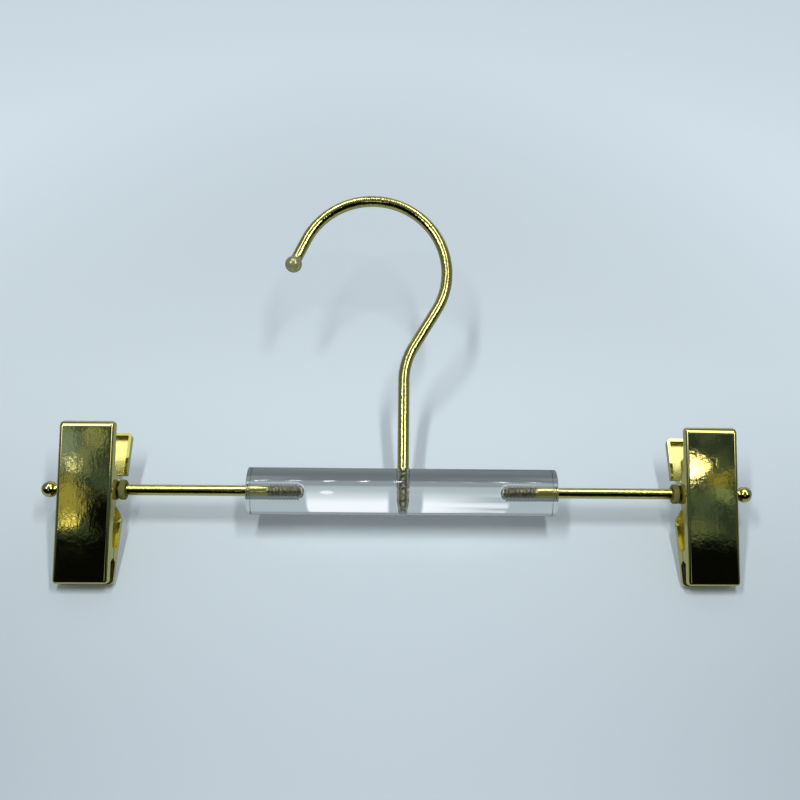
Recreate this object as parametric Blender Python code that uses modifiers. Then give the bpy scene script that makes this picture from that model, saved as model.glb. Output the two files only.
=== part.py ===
"""Pet clothes hanger: a clear bar with a wire hook and a sprung clip sliding on a wire at each end.

Metres, +Z up, X along the bar, the front of the hanger towards -Y. The origin is the inside of the top
of the hook's arc, where the hanger hangs. Run with blender --background --python part.py
"""
import math

import bmesh
import bpy
from mathutils import Matrix, Vector

for old in list(bpy.data.objects):
    bpy.data.objects.remove(old, do_unlink=True)

MM = 0.001

# Clearances
FIT_GAP = 0.3 * MM            # between pieces that touch
EAR_SIDE_GAP = 2.1 * MM       # between a clip's outer and inner ears, each side
SPRING_WIRE_GAP = 0.5 * MM    # between the side wire and the spring coil

# Hook
HOOK_WIRE = 3.3 * MM
HOOK_HALF_WIDTH = 22.4 * MM   # centreline of the arc, which is a little taller than it is wide
HOOK_HALF_HEIGHT = 23.3 * MM
HOOK_ARC_FROM = 155.4         # degrees, where the arc ends and the tip runs straight
HOOK_ARC_TO = -31.2           # degrees, where the arc runs into the slanting neck
HOOK_TIP_RUN = 8.4 * MM       # straight tip, up to the ball's centre
HOOK_BALL = 5.0 * MM
HOOK_BEND_RADIUS = 21.0 * MM  # centreline of the bend above the stem
HOOK_HEIGHT = 66.6 * MM       # arc centre above the bar's axis
STEM_OFFSET = 9.7 * MM        # stem to the right of the arc centre
SCREW_DEPTH = 10.6 * MM       # stem below the bar's top
SCREW_TAPER = 2.6 * MM        # tapered end of the screw
SCREW_TIP = 1.6 * MM          # diameter at the point

# Clear bar
BAR_DIAMETER = 13.2 * MM
BAR_LENGTH = 86.4 * MM
BAR_EDGE = 0.4 * MM           # polished edge at each end
BORE_SPARE = 1.4 * MM         # bore beyond the end of what is screwed into it

# Side wires
SIDE_WIRE = 3.0 * MM
SIDE_SCREWED = 15.0 * MM      # length inside the bar
SIDE_REACH = 54.8 * MM        # from the bar's end to the ball's centre
SIDE_BALL = 4.5 * MM
SIDE_TIP_CHAMFER = 0.5 * MM

# Stopper rings
RING_WALL = 1.0 * MM
RING_LENGTH = 1.7 * MM
RING_EDGE = 0.4 * MM

# Clips
CLIP_WIDTH = 14.8 * MM
CLIP_BALL_PLAY = 1.95 * MM    # free run between the clip and the ball
SHEET = 0.8 * MM
THUMB_LENGTH = 18.7 * MM      # pivot to the thumb end, along a plate
JAW_LENGTH = 25.3 * MM        # pivot to the jaw end, along a plate
PLATE_DEPTH = 7.4 * MM        # pivot to a plate's outer face
SPLAY = 8.8                   # degrees that each plate leans from the clip's mid-plane
THUMB_EDGE = 1.8 * MM         # rounding of the thumb edge
PLATE_EDGE = 1.0 * MM         # rounding of the other edges
CORNER = 1.1 * MM             # plan radius of the plate's corners
EAR_WALL = 1.0 * MM           # metal round the pivot hole
FRONT_FLANGE = 2.4 * MM       # depth of the front half's thumb flange
REAR_FLANGE = 3.0 * MM        # depth of the rear half's thumb flange
TAB_CORNER = 1.2 * MM         # rounding where the rear thumb flange ends at the waist
DIP_FLANGE = 2.8 * MM         # shallowest flange between ear and shoulder
JAW_LIP = 2.2 * MM            # flange round the jaw pad
EAR_ROOT_UP = 7.0 * MM        # ear's root above the pivot
EAR_ROOT_DOWN = 8.0 * MM      # ear's root below the pivot
SHOULDER_TOP = 16.4 * MM      # shoulder of the jaw, below the pivot
SHOULDER_END = 18.6 * MM
SHOULDER_SLOPE = 1.2 * MM     # height over which the flange rises to its shoulder
WAIST_UP = 6.4 * MM           # rear plate's waist, above and below the pivot
WAIST_DOWN = 2.2 * MM
WAIST_RUNOUT = 4.2 * MM       # length over which the waist widens again

# Springs
SPRING_WIRE = 1.0 * MM
SPRING_TURNS = 3
SPRING_GAP = 0.5 * MM         # between turns
SPRING_LEG = 12.0 * MM        # height of a leg's end above the pivot

# Jaw pads
PAD_SIDE_GAP = 0.4 * MM       # pad to the line of the side flanges
PAD_HEIGHT = 5.6 * MM
PAD_GROOVES = 4
PAD_GROOVE_DEPTH = 0.25 * MM
PAD_LAND = 0.55               # share of the pitch that stands proud

# Worked out from the above
HOOK_WIRE_R = HOOK_WIRE / 2
SIDE_WIRE_R = SIDE_WIRE / 2
BAR_R = BAR_DIAMETER / 2
ARC_Z = -(HOOK_HALF_HEIGHT - HOOK_WIRE_R)
BAR_Z = ARC_Z - HOOK_HEIGHT
BAR_X = STEM_OFFSET
BAR_END = BAR_LENGTH / 2
BALL_X = BAR_END + SIDE_REACH
CLIP_X = BALL_X - SIDE_BALL / 2 - CLIP_BALL_PLAY - CLIP_WIDTH / 2
PIVOT_HOLE_R = SIDE_WIRE_R + FIT_GAP
EAR_R = PIVOT_HOLE_R + EAR_WALL
REAR_EAR_X = CLIP_WIDTH / 2 - SHEET - EAR_SIDE_GAP
COIL_R = SIDE_WIRE_R + SPRING_WIRE_GAP + SPRING_WIRE / 2
LEAN = math.radians(SPLAY)
ROUND_STEPS = 24
WELD = 0.001 * MM

parts = bpy.data.collections.new("pet_clothes_hanger")
cutters = bpy.data.collections.new("cutters")
bpy.context.scene.collection.children.link(parts)
bpy.context.scene.collection.children.link(cutters)


def material(name, colour, roughness, metallic, alpha=1.0):
    made = bpy.data.materials.new(name)
    made.use_nodes = True
    shader = made.node_tree.nodes["Principled BSDF"]
    shader.inputs["Base Color"].default_value = (*colour, 1.0)
    shader.inputs["Roughness"].default_value = roughness
    shader.inputs["Metallic"].default_value = metallic
    shader.inputs["Alpha"].default_value = alpha
    return made


GOLD = material("gold_plate", (0.86, 0.74, 0.36), 0.12, 1.0)
CLEAR = material("clear_acrylic", (0.86, 0.91, 0.93), 0.05, 0.0, 0.35)
SOFT = material("translucent_ring", (0.82, 0.84, 0.80), 0.4, 0.0, 0.6)
STEEL = material("spring_steel", (0.62, 0.62, 0.62), 0.3, 1.0)
PAD = material("pad_rubber", (0.10, 0.12, 0.11), 0.6, 0.0)


def place(obj, finish, parent=None, turn=0.0, centre=(0, 0, 0)):
    """Put a finished object in the model, turned about X through its origin."""
    parts.objects.link(obj)
    obj.data.materials.clear()
    obj.data.materials.append(finish)
    obj.parent = parent
    obj.location = centre
    obj.rotation_euler = (turn, 0, 0)
    return obj


def pivot(name, centre, parent=None):
    """An empty on a joint's axis, which carries the pieces that turn or slide there."""
    empty = bpy.data.objects.new(name, None)
    empty.location = centre
    empty.empty_display_size = 5 * MM
    empty.parent = parent
    parts.objects.link(empty)
    return empty


def smooth(mesh):
    mesh.shade_smooth()
    mesh.set_sharp_from_angle(angle=math.radians(35))


def baked(obj):
    """A welded mesh of an object, with its modifiers and its own matrix, and the object removed."""
    bpy.context.view_layer.update()
    depsgraph = bpy.context.evaluated_depsgraph_get()
    mesh = bpy.data.meshes.new_from_object(obj.evaluated_get(depsgraph))
    mesh.transform(obj.matrix_world)
    name = obj.name
    bpy.data.objects.remove(obj, do_unlink=True)
    shape = bmesh.new()
    shape.from_mesh(mesh)
    bmesh.ops.remove_doubles(shape, verts=shape.verts, dist=WELD)
    bmesh.ops.connect_verts_nonplanar(shape, angle_limit=0.0001, faces=shape.faces)
    bmesh.ops.recalc_face_normals(shape, faces=shape.faces)
    shape.to_mesh(mesh)
    shape.free()
    mesh.name = name
    return mesh


def scratch(name, data):
    """A construction object, linked so that its modifiers can be evaluated."""
    obj = bpy.data.objects.new(name, data)
    cutters.objects.link(obj)
    return obj


def combine(name, mesh, tools):
    """Cut or join meshes in turn; tools holds pairs of an operation and a mesh."""
    body = scratch(name, mesh)
    helpers = []
    for index, (operation, tool) in enumerate(tools):
        helper = scratch(f"{name}_cutter_{index}", tool)
        helper.hide_render = True
        helper.display_type = "WIRE"
        modifier = body.modifiers.new(operation.lower(), "BOOLEAN")
        modifier.operation = operation
        modifier.solver = "EXACT"
        modifier.object = helper
        helpers.append(helper)
    result = baked(body)
    for helper in helpers:
        bpy.data.objects.remove(helper, do_unlink=True)
    return result


def turned(name, profile, axis="Z", steps=ROUND_STEPS):
    """A lathe form: profile holds (radius, height) down its outer side, from axis to axis."""
    mesh = bpy.data.meshes.new(name)
    shape = bmesh.new()
    corners = [shape.verts.new((radius, 0, height)) for radius, height in profile]
    for first, second in zip(corners, corners[1:]):
        shape.edges.new((first, second))
    shape.to_mesh(mesh)
    shape.free()
    obj = scratch(name, mesh)
    screw = obj.modifiers.new("turn", "SCREW")
    screw.axis = "Z"
    screw.angle = math.tau
    screw.steps = steps
    screw.render_steps = steps
    screw.use_merge_vertices = True
    screw.merge_threshold = 0.002 * MM
    if axis == "X":
        obj.matrix_world = Matrix.Rotation(math.pi / 2, 4, "Y")
    return baked(obj)


def tube(name, points, radius, sides_setting, scales=None):
    """A wire along points with flat filled ends; scales gives the radius at each point as a share."""
    curve = bpy.data.curves.new(name, "CURVE")
    curve.dimensions = "3D"
    curve.bevel_depth = radius
    curve.bevel_resolution = sides_setting
    curve.use_fill_caps = True
    spline = curve.splines.new("POLY")
    spline.points.add(len(points) - 1)
    for index, (handle, point) in enumerate(zip(spline.points, points)):
        handle.co = (*point, 1.0)
        handle.radius = scales[index] if scales else 1.0
    return baked(scratch(name, curve))


def slab(name, outline, low, high, holes=()):
    """A flat outline in the YZ plane, drawn through (y, z) points, thick from x = low to x = high."""
    curve = bpy.data.curves.new(name, "CURVE")
    curve.dimensions = "2D"
    curve.fill_mode = "BOTH"
    curve.extrude = (high - low) / 2
    for ring in (outline, *holes):
        spline = curve.splines.new("POLY")
        spline.use_cyclic_u = True
        spline.points.add(len(ring) - 1)
        for handle, (across, along) in zip(spline.points, ring):
            handle.co = (across, along, 0.0, 1.0)
    obj = scratch(name, curve)
    upright = Matrix(((0, 0, 1, 0), (1, 0, 0, 0), (0, 1, 0, 0), (0, 0, 0, 1)))
    obj.matrix_world = Matrix.Translation(((low + high) / 2, 0, 0)) @ upright
    return baked(obj)


def oval(centre, half_width, half_height, start, end, count):
    """Points on an oval in a plane, from one angle in degrees to another."""
    angles = [math.radians(start + (end - start) * step / count) for step in range(count + 1)]
    return [(centre[0] + half_width * math.cos(a), centre[1] + half_height * math.sin(a)) for a in angles]


def arc(centre, radius, start, end, count):
    return oval(centre, radius, radius, start, end, count)


def box(name, low, high, edges=None, radius=0.0, segments=3):
    """A box between two corners; edges picks the edges that are rounded."""
    shape = bmesh.new()
    bmesh.ops.create_cube(shape, size=1.0)
    size = Vector(high) - Vector(low)
    middle = (Vector(high) + Vector(low)) / 2
    bmesh.ops.scale(shape, vec=size, verts=shape.verts)
    bmesh.ops.translate(shape, vec=middle, verts=shape.verts)
    mesh = bpy.data.meshes.new(name)
    if edges and radius > 0:
        layer = shape.edges.layers.float.new("bevel_weight_edge")
        for edge in shape.edges:
            edge[layer] = edges(edge)
        shape.to_mesh(mesh)
        shape.free()
        obj = scratch(name, mesh)
        bevel = obj.modifiers.new("rounded", "BEVEL")
        bevel.limit_method = "WEIGHT"
        bevel.width = radius
        bevel.segments = segments
        return baked(obj)
    shape.to_mesh(mesh)
    shape.free()
    return mesh


def ball(name, diameter, centre, segments=16, rings=10):
    shape = bmesh.new()
    bmesh.ops.create_uvsphere(shape, u_segments=segments, v_segments=rings, radius=diameter / 2)
    bmesh.ops.translate(shape, vec=Vector(centre), verts=shape.verts)
    mesh = bpy.data.meshes.new(name)
    shape.to_mesh(mesh)
    shape.free()
    return mesh


def make_hook():
    """Ball, straight tip, arc, slanting neck, bend, stem and tapered screw, as one wire."""

    def leaving(angle):
        """Direction along the arc's centreline at an angle in degrees, towards larger angles."""
        a = math.radians(angle)
        return Vector((-HOOK_HALF_WIDTH * math.sin(a), HOOK_HALF_HEIGHT * math.cos(a))).normalized()

    sweep = oval((0.0, ARC_Z), HOOK_HALF_WIDTH, HOOK_HALF_HEIGHT, HOOK_ARC_FROM, HOOK_ARC_TO, 23)
    tip = Vector(sweep[0]) + HOOK_TIP_RUN * leaving(HOOK_ARC_FROM)
    neck = leaving(HOOK_ARC_TO)
    slant = math.atan2(neck.x, neck.y)
    bend_x = BAR_X + HOOK_BEND_RADIUS
    bend_start_x = bend_x - HOOK_BEND_RADIUS * math.cos(slant)
    neck_drop = (sweep[-1][0] - bend_start_x) / math.tan(slant)
    bend_z = sweep[-1][1] - neck_drop - HOOK_BEND_RADIUS * math.sin(slant)
    bend = arc((bend_x, bend_z), HOOK_BEND_RADIUS, 180 - math.degrees(slant), 180, 6)
    bar_top = BAR_Z + BAR_R
    taper_z = bar_top - SCREW_DEPTH + SCREW_TAPER
    stem = [(BAR_X, taper_z), (BAR_X, bar_top - SCREW_DEPTH)]
    flat = [tip, *sweep, *bend, *stem]
    scales = [1.0] * (len(flat) - 1) + [SCREW_TIP / HOOK_WIRE]
    wire = tube("hook", [(x, 0.0, z) for x, z in flat], HOOK_WIRE_R, 4, scales)
    knob = ball("hook_ball", HOOK_BALL, (tip.x, 0.0, tip.y))
    mesh = combine("hook", wire, [("UNION", knob)])
    smooth(mesh)
    return place(bpy.data.objects.new("hook", mesh), GOLD)


def make_bar(carrier):
    """Round bar with a blind bore in each end and one in the top for the hook's screw."""
    bore = SIDE_WIRE_R + FIT_GAP
    bottom = BAR_END - SIDE_SCREWED - BORE_SPARE
    half = [(0, bottom), (bore, bottom), (bore, BAR_END), (BAR_R - BAR_EDGE, BAR_END)]
    half.append((BAR_R, BAR_END - BAR_EDGE))
    profile = half + [(radius, -height) for radius, height in reversed(half)]
    body = turned("acrylic_bar", profile, "X", 32)
    drill_r = HOOK_WIRE_R + FIT_GAP
    drill_low = BAR_R - SCREW_DEPTH - FIT_GAP
    straight_low = BAR_R - SCREW_DEPTH + SCREW_TAPER
    drill = [(0, BAR_R * 2), (drill_r, BAR_R * 2), (drill_r, straight_low)]
    drill += [(SCREW_TIP / 2 + FIT_GAP, drill_low), (0, drill_low)]
    mesh = combine("acrylic_bar", body, [("DIFFERENCE", turned("stem_bore", drill, "Z", 16))])
    smooth(mesh)
    return place(bpy.data.objects.new("acrylic_bar", mesh), CLEAR, carrier)


def make_side_wire(name, side, carrier):
    """Wire with a ball at its outer end and a chamfered end inside the bar."""
    inner = BAR_END - SIDE_SCREWED
    neck = math.asin(SIDE_WIRE / SIDE_BALL)
    around = arc((0.0, BALL_X), SIDE_BALL / 2, 90.0, -90.0 + math.degrees(neck), 8)
    profile = [(max(radius, 0.0), height) for radius, height in around]
    profile[0] = (0.0, BALL_X + SIDE_BALL / 2)
    profile += [(SIDE_WIRE_R, inner + SIDE_TIP_CHAMFER), (SIDE_WIRE_R - SIDE_TIP_CHAMFER, inner), (0, inner)]
    mesh = turned(name, profile, "X", 16)
    if side < 0:
        mesh.transform(Matrix.Rotation(math.pi, 4, "Z"))
    smooth(mesh)
    return place(bpy.data.objects.new(name, mesh), GOLD, carrier)


def make_ring(name, side, carrier):
    """Soft ring on the wire, its flat face against the clip's inner side."""
    bore = SIDE_WIRE_R + FIT_GAP
    outer = bore + RING_WALL
    half = RING_LENGTH / 2
    profile = [(bore, half), (outer - RING_EDGE, half), (outer, half - RING_EDGE)]
    profile += [(radius, -height) for radius, height in reversed(profile)]
    profile.append(profile[0])
    mesh = turned(name, profile, "X", 20)
    smooth(mesh)
    return place(bpy.data.objects.new(name, mesh), SOFT, carrier)


def flange_line(thumb_depth, ears):
    """Free edge of a clip half's flange, from thumb end to jaw end, as (y, z) points.

    Depths are measured from the plate's outer face. At the shoulder the two halves almost meet.
    """
    face = -PLATE_DEPTH
    meet = PLATE_DEPTH - SHOULDER_TOP * math.tan(LEAN) - FIT_GAP / 2
    meet_end = PLATE_DEPTH - SHOULDER_END * math.tan(LEAN) - FIT_GAP / 2
    line = [(face + thumb_depth, THUMB_LENGTH + SHEET)]
    if ears:
        line += [(face + thumb_depth, EAR_ROOT_UP), *arc((0.0, 0.0), EAR_R, 130.0, -130.0, 14)]
    else:
        corner = (face + thumb_depth - TAB_CORNER, WAIST_UP + TAB_CORNER)
        line += arc(corner, TAB_CORNER, 0.0, -75.0, 4)
        line += [(corner[0], -WAIST_DOWN)]
    line += [(face + DIP_FLANGE, -EAR_ROOT_DOWN), (face + DIP_FLANGE, SHOULDER_SLOPE - SHOULDER_TOP)]
    line += [(face + meet, -SHOULDER_TOP), (face + meet_end, -SHOULDER_END)]
    line += [(face + JAW_LIP, -SHOULDER_END - SHEET), (face + JAW_LIP, -JAW_LENGTH - SHEET)]
    return line


def pan(name):
    """Deep stamped tray of even wall: a rounded block less the block inside it."""
    back = EAR_R + SHEET
    half = CLIP_WIDTH / 2

    def rounded_block(label, inset, reach):
        def rounding(edge):
            """Radius of an edge as a share of the thumb edge's."""
            low = min(vert.co.y for vert in edge.verts)
            high = max(vert.co.y for vert in edge.verts)
            if low > 0:
                return 0.0
            wanted = CORNER
            if high < 0:
                at_thumb = min(vert.co.z for vert in edge.verts) > 0
                wanted = THUMB_EDGE if at_thumb else PLATE_EDGE
            return (wanted - inset) / (THUMB_EDGE - inset)

        low = (inset - half, inset - PLATE_DEPTH, inset - JAW_LENGTH)
        high = (half - inset, reach, THUMB_LENGTH - inset)
        return box(label, low, high, rounding, THUMB_EDGE - inset)

    hollow = rounded_block(name + "_hollow", SHEET, back + SHEET)
    return combine(name, rounded_block(name, 0.0, back), [("DIFFERENCE", hollow)])


def trim(name, line):
    """The space behind a flange's free edge, across the whole clip."""
    far = EAR_R + 4 * SHEET
    outline = line + [(far, line[-1][1]), (far, line[0][1])]
    return slab(name, outline, -CLIP_WIDTH, CLIP_WIDTH)


def pivot_drill(name):
    reach = CLIP_WIDTH
    profile = [(0, reach), (PIVOT_HOLE_R, reach), (PIVOT_HOLE_R, -reach), (0, -reach)]
    return turned(name, profile, "X", 20)


def front_mesh(name):
    """Front half: plate, flanges all round and an outer ear on each side."""
    tools = [("DIFFERENCE", trim(name + "_trim", flange_line(FRONT_FLANGE, True)))]
    tools.append(("DIFFERENCE", pivot_drill(name + "_hole")))
    return combine(name, pan(name + "_pan"), tools)


def waist_cutter(name, side):
    """The notch beside a rear ear: square above, running out below."""
    inner = side * REAR_EAR_X
    outer = side * CLIP_WIDTH
    edge = side * (CLIP_WIDTH / 2 + SHEET / 4)
    corners = [(inner, WAIST_UP), (outer, WAIST_UP), (outer, -WAIST_DOWN - WAIST_RUNOUT)]
    corners += [(edge, -WAIST_DOWN - WAIST_RUNOUT), (inner, -WAIST_DOWN)]
    curve = bpy.data.curves.new(name, "CURVE")
    curve.dimensions = "2D"
    curve.fill_mode = "BOTH"
    curve.extrude = PLATE_DEPTH * 2
    spline = curve.splines.new("POLY")
    spline.use_cyclic_u = True
    spline.points.add(len(corners) - 1)
    for handle, (across, along) in zip(spline.points, corners):
        handle.co = (across, along, 0.0, 1.0)
    obj = scratch(name, curve)
    obj.matrix_world = Matrix.Rotation(math.pi / 2, 4, "X")
    return baked(obj)


def rear_ear(name, side):
    """Inner ear, bent up from the waist's edge, with the pivot hole."""
    root = -PLATE_DEPTH + SHEET / 2
    outline = [(root, WAIST_UP - FIT_GAP)]
    outline += arc((0.0, 0.0), EAR_R, 110.0, -110.0, 12)
    outline += [(root, -WAIST_DOWN - EAR_WALL / 2)]
    hole = arc((0.0, 0.0), PIVOT_HOLE_R, 0.0, 342.0, 19)
    low = REAR_EAR_X - SHEET if side > 0 else -REAR_EAR_X
    return slab(name, outline, low, low + SHEET, [hole])


def rear_mesh(name):
    """Rear half: plate with a waist, low flanges and an inner ear on each side."""
    tools = [("DIFFERENCE", trim(name + "_trim", flange_line(REAR_FLANGE, False)))]
    for side in (-1, 1):
        tools.append(("DIFFERENCE", waist_cutter(f"{name}_waist_{side}", side)))
    for side in (-1, 1):
        tools.append(("UNION", rear_ear(f"{name}_ear_{side}", side)))
    mesh = combine(name, pan(name + "_pan"), tools)
    mesh.transform(Matrix.Rotation(math.pi, 4, "Z"))
    return mesh


def pad_mesh(name):
    """Jaw pad: flat on the plate, grooved where it grips, its face on the clip's mid-plane."""
    face = -PLATE_DEPTH
    back = face + SHEET + FIT_GAP
    low = -JAW_LENGTH + SHEET + FIT_GAP
    high = low + PAD_HEIGHT

    def grip(z, depth=0.0):
        return face + PLATE_DEPTH + z * math.tan(LEAN) - FIT_GAP / 2 / math.cos(LEAN) - depth

    pitch = PAD_HEIGHT / PAD_GROOVES
    outline = [(back, low)]
    for row in range(PAD_GROOVES):
        start = low + row * pitch
        end = start + pitch * PAD_LAND
        outline += [(grip(start), start), (grip(end), end)]
        if row < PAD_GROOVES - 1:
            middle = (end + start + pitch) / 2
            outline.append((grip(middle, PAD_GROOVE_DEPTH), middle))
    outline += [(grip(high), high), (back, high)]
    half = CLIP_WIDTH / 2 - SHEET - PAD_SIDE_GAP
    return slab(name, outline, -half, half)


def spring_points():
    """Torsion spring: a leg down the front plate, the turns round the wire, a leg up the rear plate."""
    inner_face = PLATE_DEPTH / math.cos(LEAN) - SHEET / math.cos(LEAN) + SPRING_LEG * math.tan(LEAN)
    leg_y = inner_face - FIT_GAP - SPRING_WIRE / 2 / math.cos(LEAN)
    toward = math.atan2(SPRING_LEG, leg_y)
    leaves = toward - math.acos(COIL_R / math.hypot(leg_y, SPRING_LEG))
    begin = math.pi - leaves
    total = (math.tau + leaves - begin) + math.tau * SPRING_TURNS
    pitch = SPRING_WIRE + SPRING_GAP
    length = pitch * total / math.tau
    steps = round(total / math.tau * 10)
    coil = []
    for step in range(steps + 1):
        angle = begin + total * step / steps
        x = length / 2 - length * step / steps
        coil.append(Vector((x, COIL_R * math.cos(angle), COIL_R * math.sin(angle))))
    front_end = Vector((length / 2, -leg_y, SPRING_LEG))
    rear_end = Vector((-length / 2, leg_y, SPRING_LEG))
    return [front_end, *coil, rear_end]


def least_gap(points, wire, apart):
    """Smallest clear distance between stretches of a wire more than apart points from each other."""
    least = math.inf
    for i in range(len(points) - 1):
        for j in range(i + apart, len(points) - 1):
            for share in (0.0, 0.25, 0.5, 0.75, 1.0):
                spot = points[i].lerp(points[i + 1], share)
                run = points[j + 1] - points[j]
                along = max(0.0, min(1.0, (spot - points[j]).dot(run) / run.length_squared))
                least = min(least, (points[j] + run * along - spot).length)
    return least - wire


def make_clip(side_name, side):
    """One clip on its side wire: ring, front half with pad and spring, rear half with pad."""
    centre_x = BAR_X + side * CLIP_X
    slide = pivot(f"{side_name}_slide_axis", (centre_x, 0, BAR_Z))
    front = pivot(f"{side_name}_swing_axis", (0, 0, 0), slide)
    rear = pivot(f"{side_name}_open_axis", (0, 0, 0), front)
    ring = make_ring(f"{side_name}_stopper_ring", side, slide)
    ring.location.x = -side * (CLIP_WIDTH / 2 + FIT_GAP + RING_LENGTH / 2)
    front_plate = front_mesh(f"{side_name}_clip_front")
    rear_plate = rear_mesh(f"{side_name}_clip_rear")
    smooth(front_plate)
    smooth(rear_plate)
    place(bpy.data.objects.new(f"{side_name}_clip_front", front_plate), GOLD, front, LEAN)
    place(bpy.data.objects.new(f"{side_name}_clip_rear", rear_plate), GOLD, rear, -LEAN)
    front_pad = pad_mesh(f"{side_name}_front_pad")
    rear_pad = pad_mesh(f"{side_name}_rear_pad")
    rear_pad.transform(Matrix.Rotation(math.pi, 4, "Z"))
    place(bpy.data.objects.new(f"{side_name}_front_pad", front_pad), PAD, front, LEAN)
    place(bpy.data.objects.new(f"{side_name}_rear_pad", rear_pad), PAD, rear, -LEAN)
    points = spring_points()
    coil = tube(f"{side_name}_clip_spring", points, SPRING_WIRE / 2, 1)
    smooth(coil)
    place(bpy.data.objects.new(f"{side_name}_clip_spring", coil), STEEL, front)
    return points


def main():
    make_hook()
    bar_axis = pivot("bar_axis", (BAR_X, 0, BAR_Z))
    make_bar(bar_axis)
    for side_name, side in (("left", -1), ("right", 1)):
        make_side_wire(f"{side_name}_side_wire", side, bar_axis)
        points = make_clip(side_name, side)
        gap = least_gap(points, SPRING_WIRE, 4)
        print(f"{side_name} spring: least gap to itself {gap / MM:.2f} mm over {len(points)} points")
    print(f"hook seat to bar axis {-BAR_Z / MM:.2f} mm, clip centres {CLIP_X / MM:.2f} mm from the stem")


main()
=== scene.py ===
# %% [markdown]
# # A small clip hanger for pet clothes
#
# The model that comes in here is a fixed frame of plain solids. This script dresses it: each solid gets a
# finer piece of the same size in the same place, with the finish of the real one. The hanger has few
# materials, so almost everything depends on three of them: bright gold plating, clear acrylic and what
# they mirror.

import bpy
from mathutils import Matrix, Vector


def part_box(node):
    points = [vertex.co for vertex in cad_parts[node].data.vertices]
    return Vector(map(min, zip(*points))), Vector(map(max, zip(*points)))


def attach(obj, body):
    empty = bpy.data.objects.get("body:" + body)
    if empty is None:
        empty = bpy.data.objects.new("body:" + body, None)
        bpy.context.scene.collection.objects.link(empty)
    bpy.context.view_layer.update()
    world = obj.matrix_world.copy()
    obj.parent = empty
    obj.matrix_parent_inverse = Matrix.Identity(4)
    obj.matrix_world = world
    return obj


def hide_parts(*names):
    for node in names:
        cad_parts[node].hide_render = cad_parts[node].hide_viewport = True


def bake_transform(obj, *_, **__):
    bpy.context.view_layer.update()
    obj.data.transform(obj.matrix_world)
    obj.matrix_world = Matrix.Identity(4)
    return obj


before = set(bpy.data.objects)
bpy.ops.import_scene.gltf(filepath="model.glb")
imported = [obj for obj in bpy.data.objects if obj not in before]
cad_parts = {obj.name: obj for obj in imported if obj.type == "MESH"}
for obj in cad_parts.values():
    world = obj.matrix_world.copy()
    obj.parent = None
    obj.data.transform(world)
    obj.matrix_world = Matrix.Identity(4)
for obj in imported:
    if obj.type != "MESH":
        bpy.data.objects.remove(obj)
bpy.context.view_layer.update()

import math

import bmesh
import bpy
from mathutils import Matrix, Vector

MM = 0.001
print("nodes:", ", ".join(sorted(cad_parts)))

# %% [markdown]
# Most sizes can be read from the frame. A box tells where the bar lies, how thick it is and where each
# clip stands, so those are measured here and only the forms inside a box are written as numbers.

# %% Sizes read from the frame
bar_low, bar_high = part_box("acrylic_bar")
bar_middle = (bar_low + bar_high) / 2
BAR_R = (bar_high.z - bar_low.z) / 2
BAR_END = (bar_high.x - bar_low.x) / 2
BAR_X = bar_middle.x
BAR_Z = bar_middle.z

wire_low, wire_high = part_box("right_side_wire")
SIDE_INNER = wire_low.x - BAR_X
SIDE_BALL_R = (wire_high.z - wire_low.z) / 2
SIDE_BALL_X = wire_high.x - BAR_X - SIDE_BALL_R

clip_low, clip_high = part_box("right_clip_front")
CLIP_X = (clip_low.x + clip_high.x) / 2 - BAR_X
CLIP_HALF = (clip_high.x - clip_low.x) / 2

hook_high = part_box("hook")[1]
HOOK_R = hook_high.z / 2
SIDES = (("left", -1), ("right", 1))
print(f"bar {BAR_R * 2 / MM:.1f} mm thick, clips {CLIP_HALF * 2 / MM:.1f} mm wide,",
      f"hook wire {HOOK_R * 2 / MM:.1f} mm")

# %% [markdown]
# ## The camera
#
# The photo was taken from a little below the bar and looks up at it, which is why the clips lean away.
# The camera stands 253 mm in front of the hanger. A small sideways shift stands for a picture that was
# cropped off its middle.

# %% Camera
CAMERA_PLACE = Vector((6.26, -252.90, -127.68)) * MM
CAMERA_TILT = math.radians(104.70)
CAMERA_ROLL = math.radians(-0.044)
CAMERA_TURN = math.radians(-2.678)
CAMERA_LENS = 40.5
CAMERA_SHIFT = -0.0405

camera = bpy.data.objects.new("camera", bpy.data.cameras.new("camera"))
camera.location = CAMERA_PLACE
camera.rotation_euler = (CAMERA_TILT, CAMERA_ROLL, CAMERA_TURN)
camera.data.lens = CAMERA_LENS
camera.data.shift_x = CAMERA_SHIFT
camera.data.clip_start = 0.01
bpy.context.scene.collection.objects.link(camera)
bpy.context.scene.camera = camera
bpy.context.scene.view_settings.view_transform = "Standard"

# %% [markdown]
# ## Shader values as Python
#
# A finish is easier to read as a formula than as a web of nodes. `Term` wraps one socket, and adding or
# multiplying terms adds the Math nodes. Every other node comes from `Finish.add`, which takes the node's
# type, its settings and its inputs.


# %% Terms and finishes
class Term:
    """One output socket, with arithmetic."""

    def __init__(self, finish, socket):
        self.finish = finish
        self.socket = socket

    def __add__(self, other):
        return self.finish.maths("ADD", self, other)

    def __sub__(self, other):
        return self.finish.maths("SUBTRACT", self, other)

    def __rsub__(self, other):
        return self.finish.maths("SUBTRACT", other, self)

    def __mul__(self, other):
        return self.finish.maths("MULTIPLY", self, other)

    __radd__ = __add__
    __rmul__ = __mul__


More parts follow.
